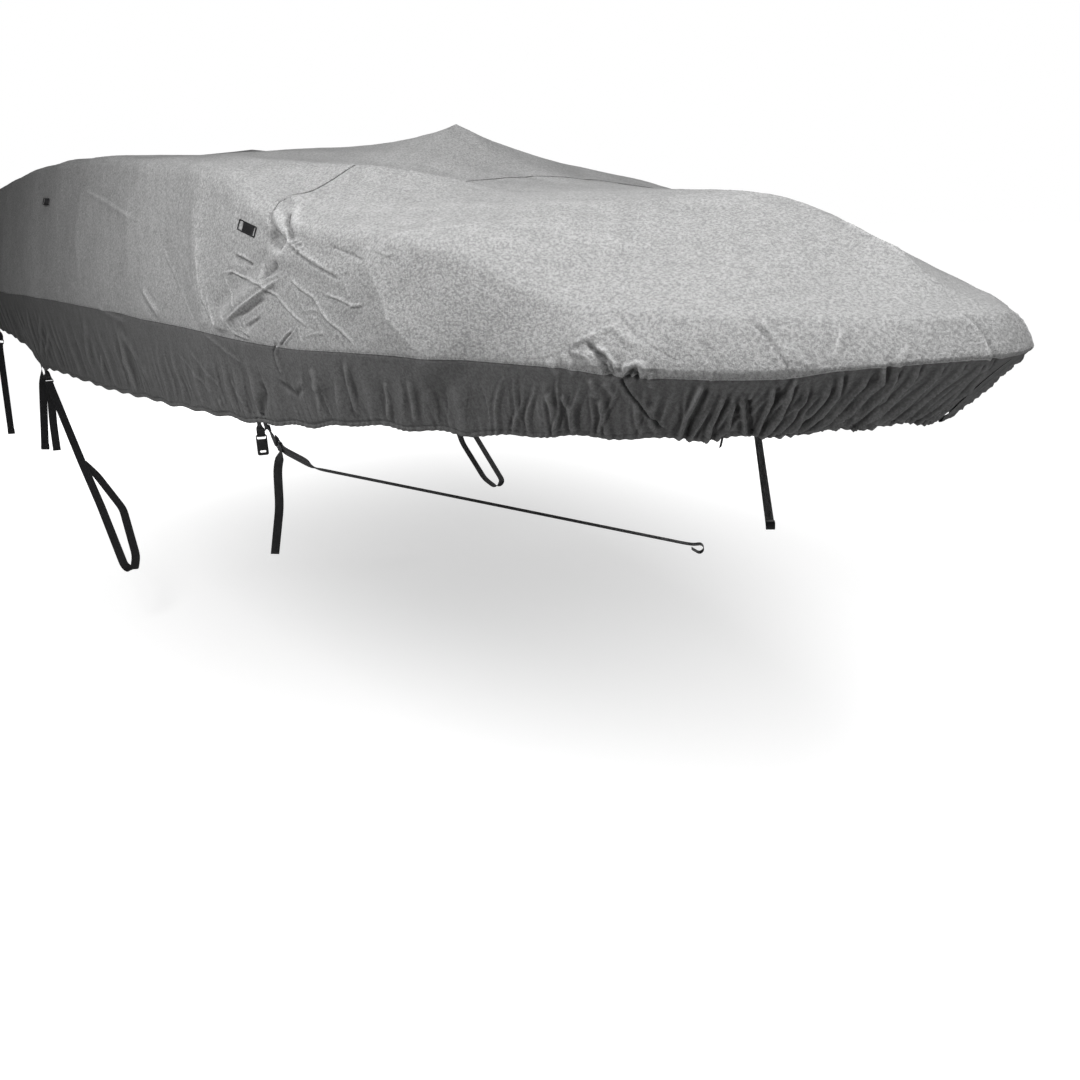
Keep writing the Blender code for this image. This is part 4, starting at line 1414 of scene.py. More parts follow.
def level_line(points: Array, values: Array, level: float) -> Array:
    """Point of each column where its values, which rise or fall all the way, pass a level.

    Args:
        points: Rows by columns by 3.
        values: One value for each point.
        level: The level.

    Returns:
        One point for each column.
    """
    if values[0, 0] > values[-1, 0]:
        points, values = points[::-1], values[::-1]
    columns = range(points.shape[1])
    return np.array([sample(level, values[:, column], points[:, column]) for column in columns])


@dataclass
class Stitching:
    """Stitches of thread along lines on the cloth."""

    pitch: float = 0.0064
    length: float = 0.0046
    width: float = 0.0012
    height: float = 0.0007
    step: float = 0.001
    places: list[Array] = field(default_factory=list)
    turns: list[Array] = field(default_factory=list)
    outward: list[Array] = field(default_factory=list)

    def follow(self, line: Array, facing: Array) -> None:
        """Set stitches along a line.

        Args:
            line: Points of the line.
            facing: Outward normals of the cloth at those points.
        """
        along = lengths_to(line)
        at = np.arange(0.5 * self.pitch, along[-1], self.pitch)
        turn = sample(at + self.step, along, line) - sample(at - self.step, along, line)
        self.places.append(sample(at, along, line))
        self.turns.append(unit(turn))
        self.outward.append(unit(sample(at, along, facing)))

    def mesh(self, name: str) -> Mesh:
        """Mesh of every stitch, each pointed at both ends.

        Args:
            name: The mesh's name.

        Returns:
            The mesh.
        """
        spots, turn, up = (np.concatenate(parts) for parts in (self.places, self.turns, self.outward))
        side = np.cross(up, turn)
        rises = (turn * self.length / 2, side * self.width / 2, up * self.height)
        corners = np.stack([spots + sign * rise for rise in rises for sign in (1, -1)], 1)
        faces = []
        for start in range(0, 6 * len(spots), 6):
            for tip, ring in ((0, (2, 4, 3, 5, 2)), (1, (4, 2, 5, 3, 4))):
                faces += [(start + tip, start + a, start + b) for a, b in zip(ring, ring[1:])]
        mesh = bpy.data.meshes.new(name)
        mesh.from_pydata(corners.reshape(-1, 3).tolist(), [], faces)
        mesh.uv_layers.new(name="cloth")
        mesh.shade_smooth()
        return mesh


@dataclass
class Panel:
    """Panel of cloth between two rows of the girth and two distances along the rail."""

    name: str
    columns: Array
    rows: list[Row]
    flat: tuple[float, float]
    area: float
    held: str
    seam: float
    seam_groove: float = 0.0028
    seam_width: float = 0.0040
    hem_radius: float = 0.0035
    hem_casing: float = 0.014
    hem_line: float = 0.0110
    edge_line: float = 0.0040
    hem_groove: float = 0.0030
    hem_angles: tuple[int, int, int] = (35, 181, 29)
    tuck: float = 0.0035
    tuck_run: tuple[float, float] = (-0.004, 0.003)
    lap: float = 0.0012
    lap_least: float = 0.0001
    lap_fade: float = 0.01
    edge_rows: tuple[int, int] = (8, 5)
    upper: tuple[float, float] = (0.85, 1.10)
    fold_reach: int = 4

    @property
    def below(self) -> bool:
        """Whether this is a skirt, which hangs from under the top's edge."""
        return self.name.startswith("skirt")

    def surface(self) -> tuple[Array, Array, Array, Array]:
        """Finished surface of the cloth.

        Returns:
            Its points, their outward normals, their distances along the rail and up from it, and how
            far each stands out from the cloth around it.
        """
        reach = np.tile(self.columns, (len(self.rows), 1))
        rows = [FORM.row(zone, share, self.columns, side) for side, zone, share in self.rows]
        points, girth = (np.array(values) for values in zip(*rows))
        facing = normals(points)
        lift = np.zeros(reach.shape)
        for side in Side:
            chosen = [index for index, row in enumerate(self.rows) if row[0] is side]
            if chosen:
                lift[chosen] = relief(reach[chosen], girth[chosen], side)
        # Fold map for the material: how far each point stands out, shown as painted shade in hollows and
        # painted highlight on ridges.
        folds = lift - smoothed(lift, self.fold_reach)
        upper = ease(girth / FORM.wall_height(reach, STARBOARD), *self.upper)
        lift -= self.seam_groove * np.exp(-(((reach - self.seam) / self.seam_width) ** 2)) * upper
        if self.name == "top_aft":
            lap = self.lap * upper + self.lap_least
            lift += lap * np.exp(-(reach - self.seam) / self.lap_fade)
        if self.below:
            side = self.rows[0][0]
            above = (FORM.hem_drop(reach, side) + girth - self.hem_line) / self.hem_groove
            lift -= self.tuck * ease(FORM.seam_drop(reach) + girth, *self.tuck_run)
            lift -= self.hem_groove * np.exp(-above * above)
        points = points + facing * lift[..., None]
        return points, normals(points), np.stack([reach, girth], -1), folds

    def turn_under(self, points: Array, facing: Array, edge: int, inner: int) -> Array:
        """Rows that roll the cloth under at one of its edges and back up inside.

        Args:
            points: The cloth's points.
            facing: Its outward normals.
            edge: Index of the edge's row.
            inner: Index of the row beside it.

        Returns:
            The rows, from the edge inward.
        """
        down = unit(points[edge] - points[inner])
        centre = points[edge] - facing[edge] * self.hem_radius
        rows = []
        for angle in np.radians(np.arange(*self.hem_angles)):
            turn = math.cos(angle) * facing[edge] + math.sin(angle) * down
            rows.append(centre + turn * self.hem_radius)
        rows.append(rows[-1] - down * self.hem_casing)
        return np.array(rows)

    def sew(self, stitching: Stitching, points: Array, facing: Array, places: Array) -> None:
        """Stitch the panel's hem, or its lower edges and its cross seam.

        Args:
            stitching: Where the stitches go.
            points: The cloth's points.
            facing: Its outward normals.
            places: Distances of its points along the rail and up from it.
        """
        reach, girth = places[..., 0], places[..., 1]
        if self.below:
            above = girth + FORM.hem_drop(reach, self.rows[0][0])
            line = level_line(points, above, self.hem_line)
            stitching.follow(line, level_line(facing, above, self.hem_line))
            return
        first, last = self.edge_rows
        for rows in (slice(first), slice(None, -last - 1, -1)):
            above = girth[rows] + FORM.seam_drop(self.columns)
            line = level_line(points[rows], above, self.edge_line)
            stitching.follow(line, level_line(facing[rows], above, self.edge_line))
        if self.name == "top_aft":
            column = int(np.argmin(np.abs(self.columns - self.seam - self.edge_line)))
            stitching.follow(points[:, column], facing[:, column])

    def mesh(self, stitching: Stitching) -> Mesh:
        """The panel's mesh.

        Args:
            stitching: Where its stitches go.

        Returns:
            The mesh, with its edges turned under.
        """
        points, facing, places, folds = self.surface()
        self.sew(stitching, points, facing, places)
        first, last = points[:0], points[:0]
        if not self.below:
            first, last = (points[[end]] - facing[[end]] * CLOTH for end in (0, -1))
        elif self.rows[0][0] is STARBOARD:
            first = self.turn_under(points, facing, 0, 1)[::-1]
        else:
            last = self.turn_under(points, facing, -1, -2)
        more = (len(first), len(last))
        places = np.pad(places, (more, (0, 0), (0, 0)), mode="edge")
        folds = np.pad(folds, (more, (0, 0)), mode="edge")
        return grid_mesh(self.name, np.concatenate([first, points, last]), places, folds)


@dataclass
class Cover:
    """The four panels of cloth, and the lines of stitches that join them."""

    finishes: Finishes
    cross_seam_station: float = 1.675
    overlap: float = 0.007
    least_drop: float = 0.0015
    top_power: float = 1.15
    skirt_power: float = 1.3

    def __post_init__(self) -> None:
        """Find the cross seam."""
        self.seam = FORM.reach_of(self.cross_seam_station, at_edge=True)

    def turned_down(self, side: Side, columns: Array, count: int) -> list[Row]:
        """Rows of the top's cloth below the rail, from its lower edge up.

        Args:
            side: Side of the boat.
            columns: Distances along the rail.
            count: How many rows.

        Returns:
            The rows.
        """
        deep, low = FORM.seam_drop(columns), FORM.rail_turn(columns)
        drops = [low + (deep - low) * (1 - index / count) for index in range(count)]
        return [(side, Zone.SKIRT, FORM.skirt_share(drop, columns, side)) for drop in drops]

    def top_rows(self, columns: Array, starboard: Sequence[int], port: Sequence[int]) -> list[Row]:
        """Rows of the top, from its starboard seam over the middle line to its port seam.

        Args:
            columns: Distances along the rail.
            starboard: How many rows each stretch has, from the turned-down edge up.
            port: The same to port.

        Returns:
            The rows.
        """
        halves = []
        for side, (edge, *counts) in ((STARBOARD, starboard), (PORT, port)):
            rows = self.turned_down(side, columns, edge)
            for zone, count in zip((Zone.RAIL, Zone.WALL, Zone.EDGE, Zone.TOP), counts):
                rows += rows_of(side, zone, count, self.top_power if zone is Zone.TOP else 1.0)
            halves.append(rows)
        return halves[0] + [(PORT, Zone.TOP, 1.0)] + halves[1][::-1]

    def skirt_rows(self, side: Side, columns: Array, count: int) -> list[Row]:
        """Rows of a skirt from its hem to its seam, or the other way round to port.

        Args:
            side: Side of the boat.
            columns: Distances along the rail.
            count: How many rows.

        Returns:
            The rows.
        """
        drop = np.maximum(FORM.seam_drop(columns) - self.overlap, self.least_drop)
        top = FORM.skirt_share(drop, columns, side)
        shares = np.linspace(0.0, 1.0, count + 1) ** self.skirt_power
        rows = [(side, Zone.SKIRT, top * share) for share in shares]
        return rows if side is STARBOARD else rows[::-1]

    def build(self) -> None:
        """Make the four panels."""
        seam, end = self.seam, FORM.length
        bow = spaced((0.0, 0.70, 0.0060), (0.70, 1.15, 0.0038), (1.15, 1.30, 0.0050),
                     (1.30, seam - 0.02, 0.0034), (seam - 0.02, seam + 0.004, 0.0025))
        aft = spaced((seam - 0.004, seam + 0.02, 0.0025), (seam + 0.02, seam + 0.42, 0.0030),
                     (seam + 0.42, seam + 0.90, 0.0060), (seam + 0.90, seam + 1.9, 0.013),
                     (seam + 1.9, seam + 3.4, 0.024), (seam + 3.4, end, 0.030))
        close = spaced((0.0003, 1.30, 0.0033), (1.30, 3.20, 0.0050), (3.20, 5.60, 0.0100),
                       (5.60, end - 0.0003, 0.018))
        wide = spaced((0.0003, 1.30, 0.0070), (1.30, 3.40, 0.0090), (3.40, 5.60, 0.014),
                      (5.60, end - 0.0003, 0.020))
        bow_rows = self.top_rows(bow, (4, 7, 80, 8, 44), (2, 4, 14, 5, 18))
        aft_rows = self.top_rows(aft, (4, 7, 112, 8, 32), (2, 4, 16, 5, 24))
        star_rows, port_rows = self.skirt_rows(STARBOARD, close, 56), self.skirt_rows(PORT, wide, 34)
        panels = (
            Panel("top_bow", bow, bow_rows, (2.45, 1.90), 3.15, "stretched", seam),
            Panel("top_aft", aft, aft_rows, (3.40, 5.20), 15.3, "stretched", seam),
            Panel("skirt_starboard", close, star_rows, (0.42, 8.20), 2.5, "gathered", seam),
            Panel("skirt_port", wide, port_rows, (0.42, 8.20), 2.5, "gathered", seam),
        )
        stitching = Stitching()
        for panel in panels:
            look = self.finishes.skirt if panel.below else self.finishes.top
            piece = add_piece(f"{panel.name}_cloth", panel.mesh(stitching), look, (panel.name,))
        add_piece("stitches", stitching.mesh("stitches"), self.finishes.thread)


# ---- webbing and fittings

Stop = tuple[Array, Array]


def spot(place: Sequence[float], side: Side) -> Array:
    """Point at a station, an offset and a height."""
    return FORM.place(*place, side)


def direction(aft: float, out: float, up: float, side: Side) -> Array:
    """Direction given as aft, away from the middle line and up."""
    return unit(np.array([-aft, side.value * out, up]))


def square_to(across: Array, along: Array) -> Array:
    """Part of one direction that is square to another."""
    return unit(across - along * across.dot(along))


@dataclass(frozen=True)
class Webbing:
    """Sizes that every strap and its eyes have."""

    thick: float = 0.0016
    sewn: float = 0.030
    free: float = 0.016
    gap: float = 0.0008
    eye_radius: float = 0.0054
    eye_reach: float = 0.020
    eye_close: float = 0.40
    pitch: float = 0.010
    arc: int = 7

    def turn_round(self, bar: Array, away: Array, out: Array, radius: float) -> list[Stop]:
        """Stops of a strap round a bar.

        Args:
            bar: Middle of the bar.
            away: Direction from the strap to the bar.
            out: Direction to the side on which the strap comes.
            radius: Radius of the turn.

        Returns:
            The stops, over the bar's far side.
        """
        axis = np.cross(away, out)
        reach, close = away * self.eye_reach, out * radius * self.eye_close
        points = [bar - reach + close]
        for angle in np.linspace(math.pi / 2, -math.pi / 2, self.arc):
            points.append(bar + (away * math.cos(angle) + out * math.sin(angle)) * radius)
        points.append(bar - reach - close)
        return [(point, axis) for point in points]

    def hem_stops(self, station: float, side: Side) -> list[Stop]:
        """Stops of the end of a loop that is sewn flat to the inside of the hem.

        Args:
            station: Where the loop is sewn on.
            side: Side of the boat.

        Returns:
            The stops, from the sewn end down.
        """
        reach = np.array([FORM.reach_of(station)])
        drop = FORM.hem_drop(reach, side)
        stops = []
        for depth in (drop - self.sewn, drop - 0.001, drop + self.free):
            point = FORM.hang(reach, side, depth)[0]
            ahead, behind = (FORM.hang(reach + step, side, depth)[0] for step in (self.sewn, -self.sewn))
            down = FORM.hang(reach, side, depth + self.sewn)[0] - point
            inner = unit(np.cross(ahead - behind, down))
            if inner[1] * side.value > 0:
                inner = -inner
            stops.append((point + inner * (CLOTH + self.thick / 2 + self.gap), unit(ahead - behind)))
        return stops


WEBBING = Webbing()


@dataclass
class Strap:
    """Flat strap through stops, each a point and the direction of its width there."""

    name: str
    stops: list[Stop]
    width: float
    held: str
    softness: float = 0.030
    bend_steps: int = 5
    least_step: float = 0.0002

    def path(self) -> tuple[Array, Array, Array]:
        """Course of the strap, rounded at its stops.

        Returns:
            Points along it, the direction of its width at each, and the length up to each.
        """
        points = np.array([point for point, _ in self.stops])
        widths = [self.stops[0][1]]
        for _, across in self.stops[1:]:
            widths.append(across if across.dot(widths[-1]) > 0 else -across)
        stops = np.hstack([points, widths])
        runs = np.linalg.norm(np.diff(points, axis=0), axis=1)
        cuts = np.minimum(runs * 0.5, self.softness) / runs
        rows = [stops[0]]
        for before, stop, after, cut, next_cut in zip(stops, stops[1:], stops[2:], cuts, cuts[1:]):
            ends = stop + (before - stop) * cut, stop, stop + (after - stop) * next_cut
            rows += [round_off(ends, share) for share in np.linspace(0.0, 1.0, self.bend_steps)]
        rows = np.array([*rows, stops[-1]])
        lengths = lengths_to(rows[:, :3])
        keep = np.concatenate([[True], np.diff(lengths) > self.least_step])
        rows, lengths = rows[keep], lengths[keep]
        extra = np.arange(0.0, lengths[-1], WEBBING.pitch)
        spacing = np.abs(extra[:, None] - lengths[None]).min(axis=1)
        at = np.sort(np.concatenate([lengths, extra[spacing > WEBBING.pitch * 0.4]]))
        rows = sample(at, lengths, rows)
        return rows[:, :3], rows[:, 3:], at

    def mesh(self) -> Mesh:
        """The strap's mesh, a little thicker along its two woven edges.

        Returns:
            The mesh, closed at both ends.
        """
        places, turns, at = self.path()
        along = unit(np.gradient(places, axis=0))
        turns = unit(turns - along * (turns * along).sum(1, keepdims=True))
        facing = np.cross(along, turns)
        half, thick = self.width / 2, WEBBING.thick / 2
        shares = (-1.0, -0.96, -0.86, -0.45, 0.0, 0.45, 0.86, 0.96, 1.0)
        rises = (0.0, 0.85, 1.0, 0.86, 0.9, 0.86, 1.0, 0.85, 0.0)
        section = list(zip(shares, rises)) + [(share, -rise) for share, rise in zip(shares, rises)][-2:0:-1]
        ring = np.array(section)
        rows = places[:, None] + turns[:, None] * ring[:, :1] * half
        rows = rows + facing[:, None] * ring[:, 1:] * thick
        shape = bmesh.new()
        layer = shape.loops.layers.uv.new("cloth")
        verts = [[shape.verts.new(point) for point in row] for row in rows]
        count = len(section)
        for index in range(len(rows) - 1):
            for turn in range(count):
                after = (turn + 1) % count
                corners = ((index, turn), (index + 1, turn), (index + 1, after), (index, after))
                face = shape.faces.new([verts[row][column] for row, column in corners])
                for loop, (row, column) in zip(face.loops, corners):
                    loop[layer].uv = (at[row], ring[column, 0] * half)
        for row in (verts[0], verts[-1]):
            shape.faces.new(row)
        bmesh.ops.recalc_face_normals(shape, faces=shape.faces)
        return to_mesh(self.name, shape)

    def build(self, finishes: Finishes) -> None:
        """Put the strap in the scene.

        Args:
            finishes: The cover's finishes.
        """
        piece = add_piece(f"{self.name}_strap", self.mesh(), finishes.webbing, (self.name,))
        length = float(self.path()[2][-1])
        LOG.info("%s: %.2f m of webbing", piece.name, length)


@dataclass
class Plate:
    """Moulded plate with rounded corners, slots and ribs."""

    name: str
    size: tuple[float, float, float]
    slots: list[tuple[float, float, float]]
    corner: float
    bevel: float
    ribs: tuple[float, ...] = ()
    rib_length: float = 0.0

    @staticmethod
    def outline(centre: float, length: float, width: float, corner: float) -> list[tuple[float, float]]:
        """Points of a rectangle with rounded corners.

        Args:
            centre: Where its middle is along the plate.
            length: Its length.
            width: Its width.
            corner: Radius of its corners.

        Returns:
            The points, in order.
        """
        points = []
        for along, across, start in ((1, 1, 0), (-1, 1, 90), (-1, -1, 180), (1, -1, 270)):
            for angle in np.radians(np.linspace(start, start + 90, 5)):
                x = centre + along * (length / 2 - corner) + corner * math.cos(angle)
                points.append((x, across * (width / 2 - corner) + corner * math.sin(angle)))
        return points

    def mesh(self) -> Mesh:
        """The plate's mesh, flat in X and Y.

        Returns:
            The mesh.
        """
        curve = bpy.data.curves.new(self.name, "CURVE")
        curve.dimensions, curve.fill_mode = "2D", "BOTH"
        curve.extrude = self.size[2] / 2 - self.bevel
        curve.bevel_depth, curve.bevel_resolution = self.bevel, 2
        more = 2 * self.bevel
        rings = [(0.0, self.size[0] - more, self.size[1] - more)]
        rings += [(centre, length + more, width + more) for centre, length, width in self.slots]
        for centre, length, width in rings:
            corner = min(self.corner, 0.4 * length, 0.4 * width)
            points = self.outline(centre, length, width, corner)
            spline = curve.splines.new("POLY")
            spline.use_cyclic_u = True
            spline.points.add(len(points) - 1)
            for point, (x, y) in zip(spline.points, points):
                point.co = (x, y, 0.0, 1.0)
        maker = put(self.name, curve)
        shape = bmesh.new()
        made = maker.evaluated_get(bpy.context.evaluated_depsgraph_get()).to_mesh()
        shape.from_mesh(made)
        bpy.data.objects.remove(maker, do_unlink=True)
        for rib in self.ribs:
            self.add_rib(shape, rib)
        bmesh.ops.remove_doubles(shape, verts=shape.verts, dist=0.00001)
        mesh = to_mesh(self.name, shape)
        mesh.set_sharp_from_angle(angle=math.radians(40))
        return mesh

    def add_rib(self, shape: bmesh.types.BMesh, at: float) -> None:
        """Raised rib across the plate at a place along it.

        Args:
            shape: The shape that the rib is added to.
            at: Its place along the plate.
        """
        section = [(-0.0016, -0.2), (-0.0012, 0.0010), (0.0, 0.0014), (0.0012, 0.0010), (0.0016, -0.2)]
        half, top = self.rib_length / 2, self.size[2] / 2
        rows = []
        for across, drop in ((-half, 0.3), (-half * 0.92, 1.0), (half * 0.92, 1.0), (half, 0.3)):
            rows.append([shape.verts.new((at + x, across, top + max(z, -0.0006) * drop)) for x, z in section])
        for first, last in zip(rows, rows[1:]):
            for index in range(len(section) - 1):
                shape.faces.new((first[index], first[index + 1], last[index + 1], last[index]))

    def build(self, finishes: Finishes, centre: Array, along: Array, across: Array) -> None:
        """Put the plate in the scene.

        Args:
            finishes: The cover's finishes.
            centre: The plate's middle.
            along: Direction of its length.
            across: Direction of its width, made square to its length.
        """
        across = square_to(across, along)
        axes = Matrix([Vector(axis) for axis in (along, across, np.cross(along, across))]).transposed()
        mesh = self.mesh()
        mesh.transform(Matrix.Translation(Vector(centre)) @ axes.to_4x4())
        add_piece(f"{self.name}_moulding", mesh, finishes.plastic, (self.name,))


@dataclass
class Fittings:
    """Straps, links, clips and sliders of one side."""

    side: Side
    finishes: Finishes
    fore_width: float = 0.026
    aft_width: float = 0.038
    clip_width: float = 0.025
    link_length: float = 0.028
    link_bar: float = 0.0035
    link_play: float = 0.002
    post_eye: float = 0.013
    clip_size: tuple[float, float, float] = (0.066, 0.034, 0.004)
    clip_slot: float = 0.011
    clip_mouth: tuple[float, float, float] = (0.021, 0.007, 0.018)
    clip_drop: float = 0.028
    slider_size: tuple[float, float, float] = (0.114, 0.032, 0.003)
    slider_slots: tuple[tuple[float, float], ...] = ((-0.038, 0.024), (0.047, 0.010))
    slider_span: float = 0.050

    def points(self, *places: tuple[float, float, float], across: Array) -> list[Stop]:
        """Stops through places given as station, offset and height."""
        return [(spot(place, self.side), across) for place in places]

    def strap(self, name: str, stops: list[Stop], width: float, held: str = "hung") -> None:
        """Make one strap."""
        Strap(name, stops, width, held).build(self.finishes)

    def loop_and_link(self, name: str, station: float, place: tuple[float, float, float],
                      across: Array, width: float) -> tuple[Array, list[Stop]]:
        """Loop sewn to the hem, and the link in it.

        Args:
            name: Start of the two pieces' names.
            station: Where the loop is sewn.
            place: The link's middle, as station, offset and height.
            across: Direction of the link's bars.
            width: Width of the webbing.

        Returns:
            The middle of the link's free bar, and the stops of a strap round it.
        """
        centre = spot(place, self.side)
        sewn = WEBBING.hem_stops(station, self.side)
        along = unit(centre - sewn[-1][0])
        across = square_to(across, along)
        out = np.cross(along, across) * -self.side.value
        reach = (self.link_length - self.link_bar) / 2
        eye = WEBBING.turn_round(centre - along * reach, along, out, WEBBING.eye_radius)
        middle = ((sewn[-1][0] + eye[0][0]) / 2, sewn[-1][1] + across)
        self.strap(f"{name}_loop", sewn + [middle] + eye, width)
        outer = (self.link_length, width + 2 * self.link_bar + self.link_play, self.link_bar)
        slot = (0.0, self.link_length - 2 * self.link_bar, width + self.link_play)
        Plate(f"{name}_link", outer, [slot], 0.003, 0.0012).build(self.finishes, centre, along, across)
        bar = centre + along * reach
        return bar, WEBBING.turn_round(bar, -along, out, WEBBING.eye_radius)

    def eye(self, end: Array, start: Array, across: Array) -> list[Stop]:
        """Stops of the eye in which a strap ends.

        Args:
            end: Middle of what the eye goes round.
            start: Where the strap comes from.
            across: Direction of its width.

        Returns:
            The stops.
        """
        pull = unit(end - start)
        return WEBBING.turn_round(end, pull, np.cross(pull, across), self.post_eye)

    def build_fore(self) -> None:
        """Taut tie to the trailer's post, its tail and a spare clip."""
        side, name = self.side, f"fore_{self.side.label}"
        slant = direction(-0.44, 0.0, 0.90, side)
        _, turn = self.loop_and_link(name, 1.785, (1.705, 0.953, -0.322), slant, self.fore_width)
        tail = self.points((1.720, 1.000, -0.668), (1.672, 0.985, -0.505), (1.685, 0.972, -0.385),
                           across=direction(0.34, 0.94, 0.0, side))
        edge_on = direction(0.71, -0.70, -0.04, side)
        tie = self.points((1.545, 0.931, -0.353), across=slant)
        tie += self.points((1.505, 0.925, -0.362), across=edge_on)
        tie += self.eye(spot((0.733, 0.150, -0.574), side), tie[-1][0], edge_on)
        self.strap(f"{name}_tie", tail + turn + tie, self.fore_width, "stretched")
        self.build_clip(f"{name}_clip")

    def build_clip(self, name: str) -> None:
        """Half of a buckle that hangs open from the hem on its own loop.

        Args:
            name: The clip's name.
        """
        sewn = WEBBING.hem_stops(1.825, self.side)
        facing = direction(0.34, 0.94, 0.0, self.side)
        down = direction(0.0, 0.0, -1.0, self.side)
        bar = sewn[-1][0] + down * self.clip_drop
        eye = WEBBING.turn_round(bar, down, np.cross(down, facing), WEBBING.eye_radius)
        self.strap(f"{name}_loop", sewn + eye, self.clip_width)
        length, width, _ = self.clip_size
        slot_at = self.link_bar + (self.clip_slot - length) / 2
        slot = (slot_at, self.clip_slot, self.clip_width + self.link_play)
        ribs = (-0.009, -0.005, -0.001, 0.003, 0.007, 0.011)
        plate = Plate(name, self.clip_size, [slot, self.clip_mouth], 0.005, 0.0012, ribs, width * 0.66)
        plate.build(self.finishes, bar + down * (length - self.link_bar) / 2, down, facing)

    def build_aft(self) -> None:
        """Drop to the trailer, long loop round its beam and a tail."""
        side, name = self.side, f"aft_{self.side.label}"
        wide = direction(0.0, 1.0, 0.0, side)
        _, turn = self.loop_and_link(name, 4.60, (4.530, 1.080, -0.485), wide, self.aft_width)
        twist = self.points((4.645, 1.095, -0.540), across=wide)
        eye = self.eye(spot((4.600, 1.148, -0.845), side), twist[0][0], wide)
        self.strap(f"{name}_drop", WEBBING.hem_stops(4.68, side) + twist + eye, self.aft_width)
        tail = self.points((4.450, 1.118, -0.840), (4.465, 1.108, -0.700), (4.490, 1.090, -0.570),
                           across=wide)
        beam = self.points((4.068, 1.080, -0.822), (3.793, 1.080, -0.997), (3.508, 1.080, -1.228),
                           (3.520, 1.040, -1.262), (3.590, 1.005, -1.215), (3.786, 0.985, -1.030),
                           (3.980, 1.040, -0.885), (4.060, 1.074, -0.834), across=wide)
        self.strap(f"{name}_tie", tail + turn + beam, self.aft_width, "stretched")

    def build_stern(self) -> None:
        """One strap down to the trailer from the quarter."""
        side, name = self.side, f"stern_{self.side.label}"
        wide = direction(0.0, 1.0, 0.0, side)
        bar, turn = self.loop_and_link(name, 5.95, (5.940, 1.084, -0.420), wide, self.aft_width)
        turn += self.eye(spot((5.840, 1.140, -0.980), side), bar, wide)
        self.strap(f"{name}_tie", turn, self.aft_width, "stretched")

    def wall_point(self, reach: float, share: float) -> Array:
        """Point of the wall without its creases."""
        return FORM.wall(np.array([reach]), self.side, np.array([share]))[0]

    def build_sliders(self) -> None:
        """Flat sliders on the wall, with a slot at either end and ribs between."""
        table = (("fore_slider", 1.794, 0.785, -0.08, 0.0015), ("aft_slider", 4.080, 0.715, 0.05, 0.0018))
        for name, station, share, dip, stand in table:
            reach = FORM.reach_of(station, at_edge=True)
            centre = self.wall_point(reach, share)
            span = self.slider_span
            along = unit(self.wall_point(reach - span, share) - self.wall_point(reach + span, share))
            up = unit(self.wall_point(reach, share + 0.05) - centre)
            along = unit(along - up * dip)
            up = square_to(up, along)
            normal = np.cross(along, up)
            if normal[1] * self.side.value < 0:
                normal, up, along = -normal, up, -along
            if self.side is PORT:
                stand = 0.0018
            bar = self.slider_size[1] - 2 * self.link_bar
            slots = [(at, length, bar) for at, length in self.slider_slots]
            ribs = tuple(np.linspace(-0.018, 0.034, 10))
            name = f"{name}_{self.side.label}"
            plate = Plate(name, self.slider_size, slots, 0.004, 0.0010, ribs, bar * 0.86)
            plate.build(self.finishes, centre + normal * stand, along, up)

    def build(self) -> None:
        """Make every fitting of this side."""
        self.build_fore()
        self.build_aft()
        self.build_stern()
        self.build_sliders()


# ---- stage, light and camera


@dataclass(frozen=True)
class Lamp:
    """Square light that the camera doesn't see."""

    name: str
    place: tuple[float, float, float]
    aim: tuple[float, float, float]
    power: float
    size: float = 1.2

    def build(self) -> None:
        """Put the light in the scene, turned to its aim."""
        light = bpy.data.lights.new(f"{self.name}_lamp", "AREA")
        light.shape, light.size, light.energy = "SQUARE", self.size, self.power
        lamp = put(light.name, light)
        lamp.location = self.place
        lamp.rotation_euler = (Vector(self.aim) - Vector(self.place)).to_track_quat("-Z", "Y").to_euler()
        lamp.visible_camera = False


LAMPS = (
    Lamp("side", (0.57, -2.44, 1.35), (0.6, -0.9, -0.5), 44.0),
    Lamp("bow", (2.53, -0.32, 2.16), (1.8, -0.2, -0.5), 79.0),
    Lamp("low", (0.6, -4.6, -0.1), (0.0, -0.9, -0.4), 16.0),
    Lamp("tip", (4.2, -1.3, -0.55), (2.0, -0.1, -0.52), 11.0),
    Lamp("port", (-1.5, 4.7, -0.2), (-1.5, 0.0, -0.5), 95.0),
    Lamp("stern", (-7.5, 0.8, -0.3), (-4.0, 0.0, -0.5), 95.0),
)


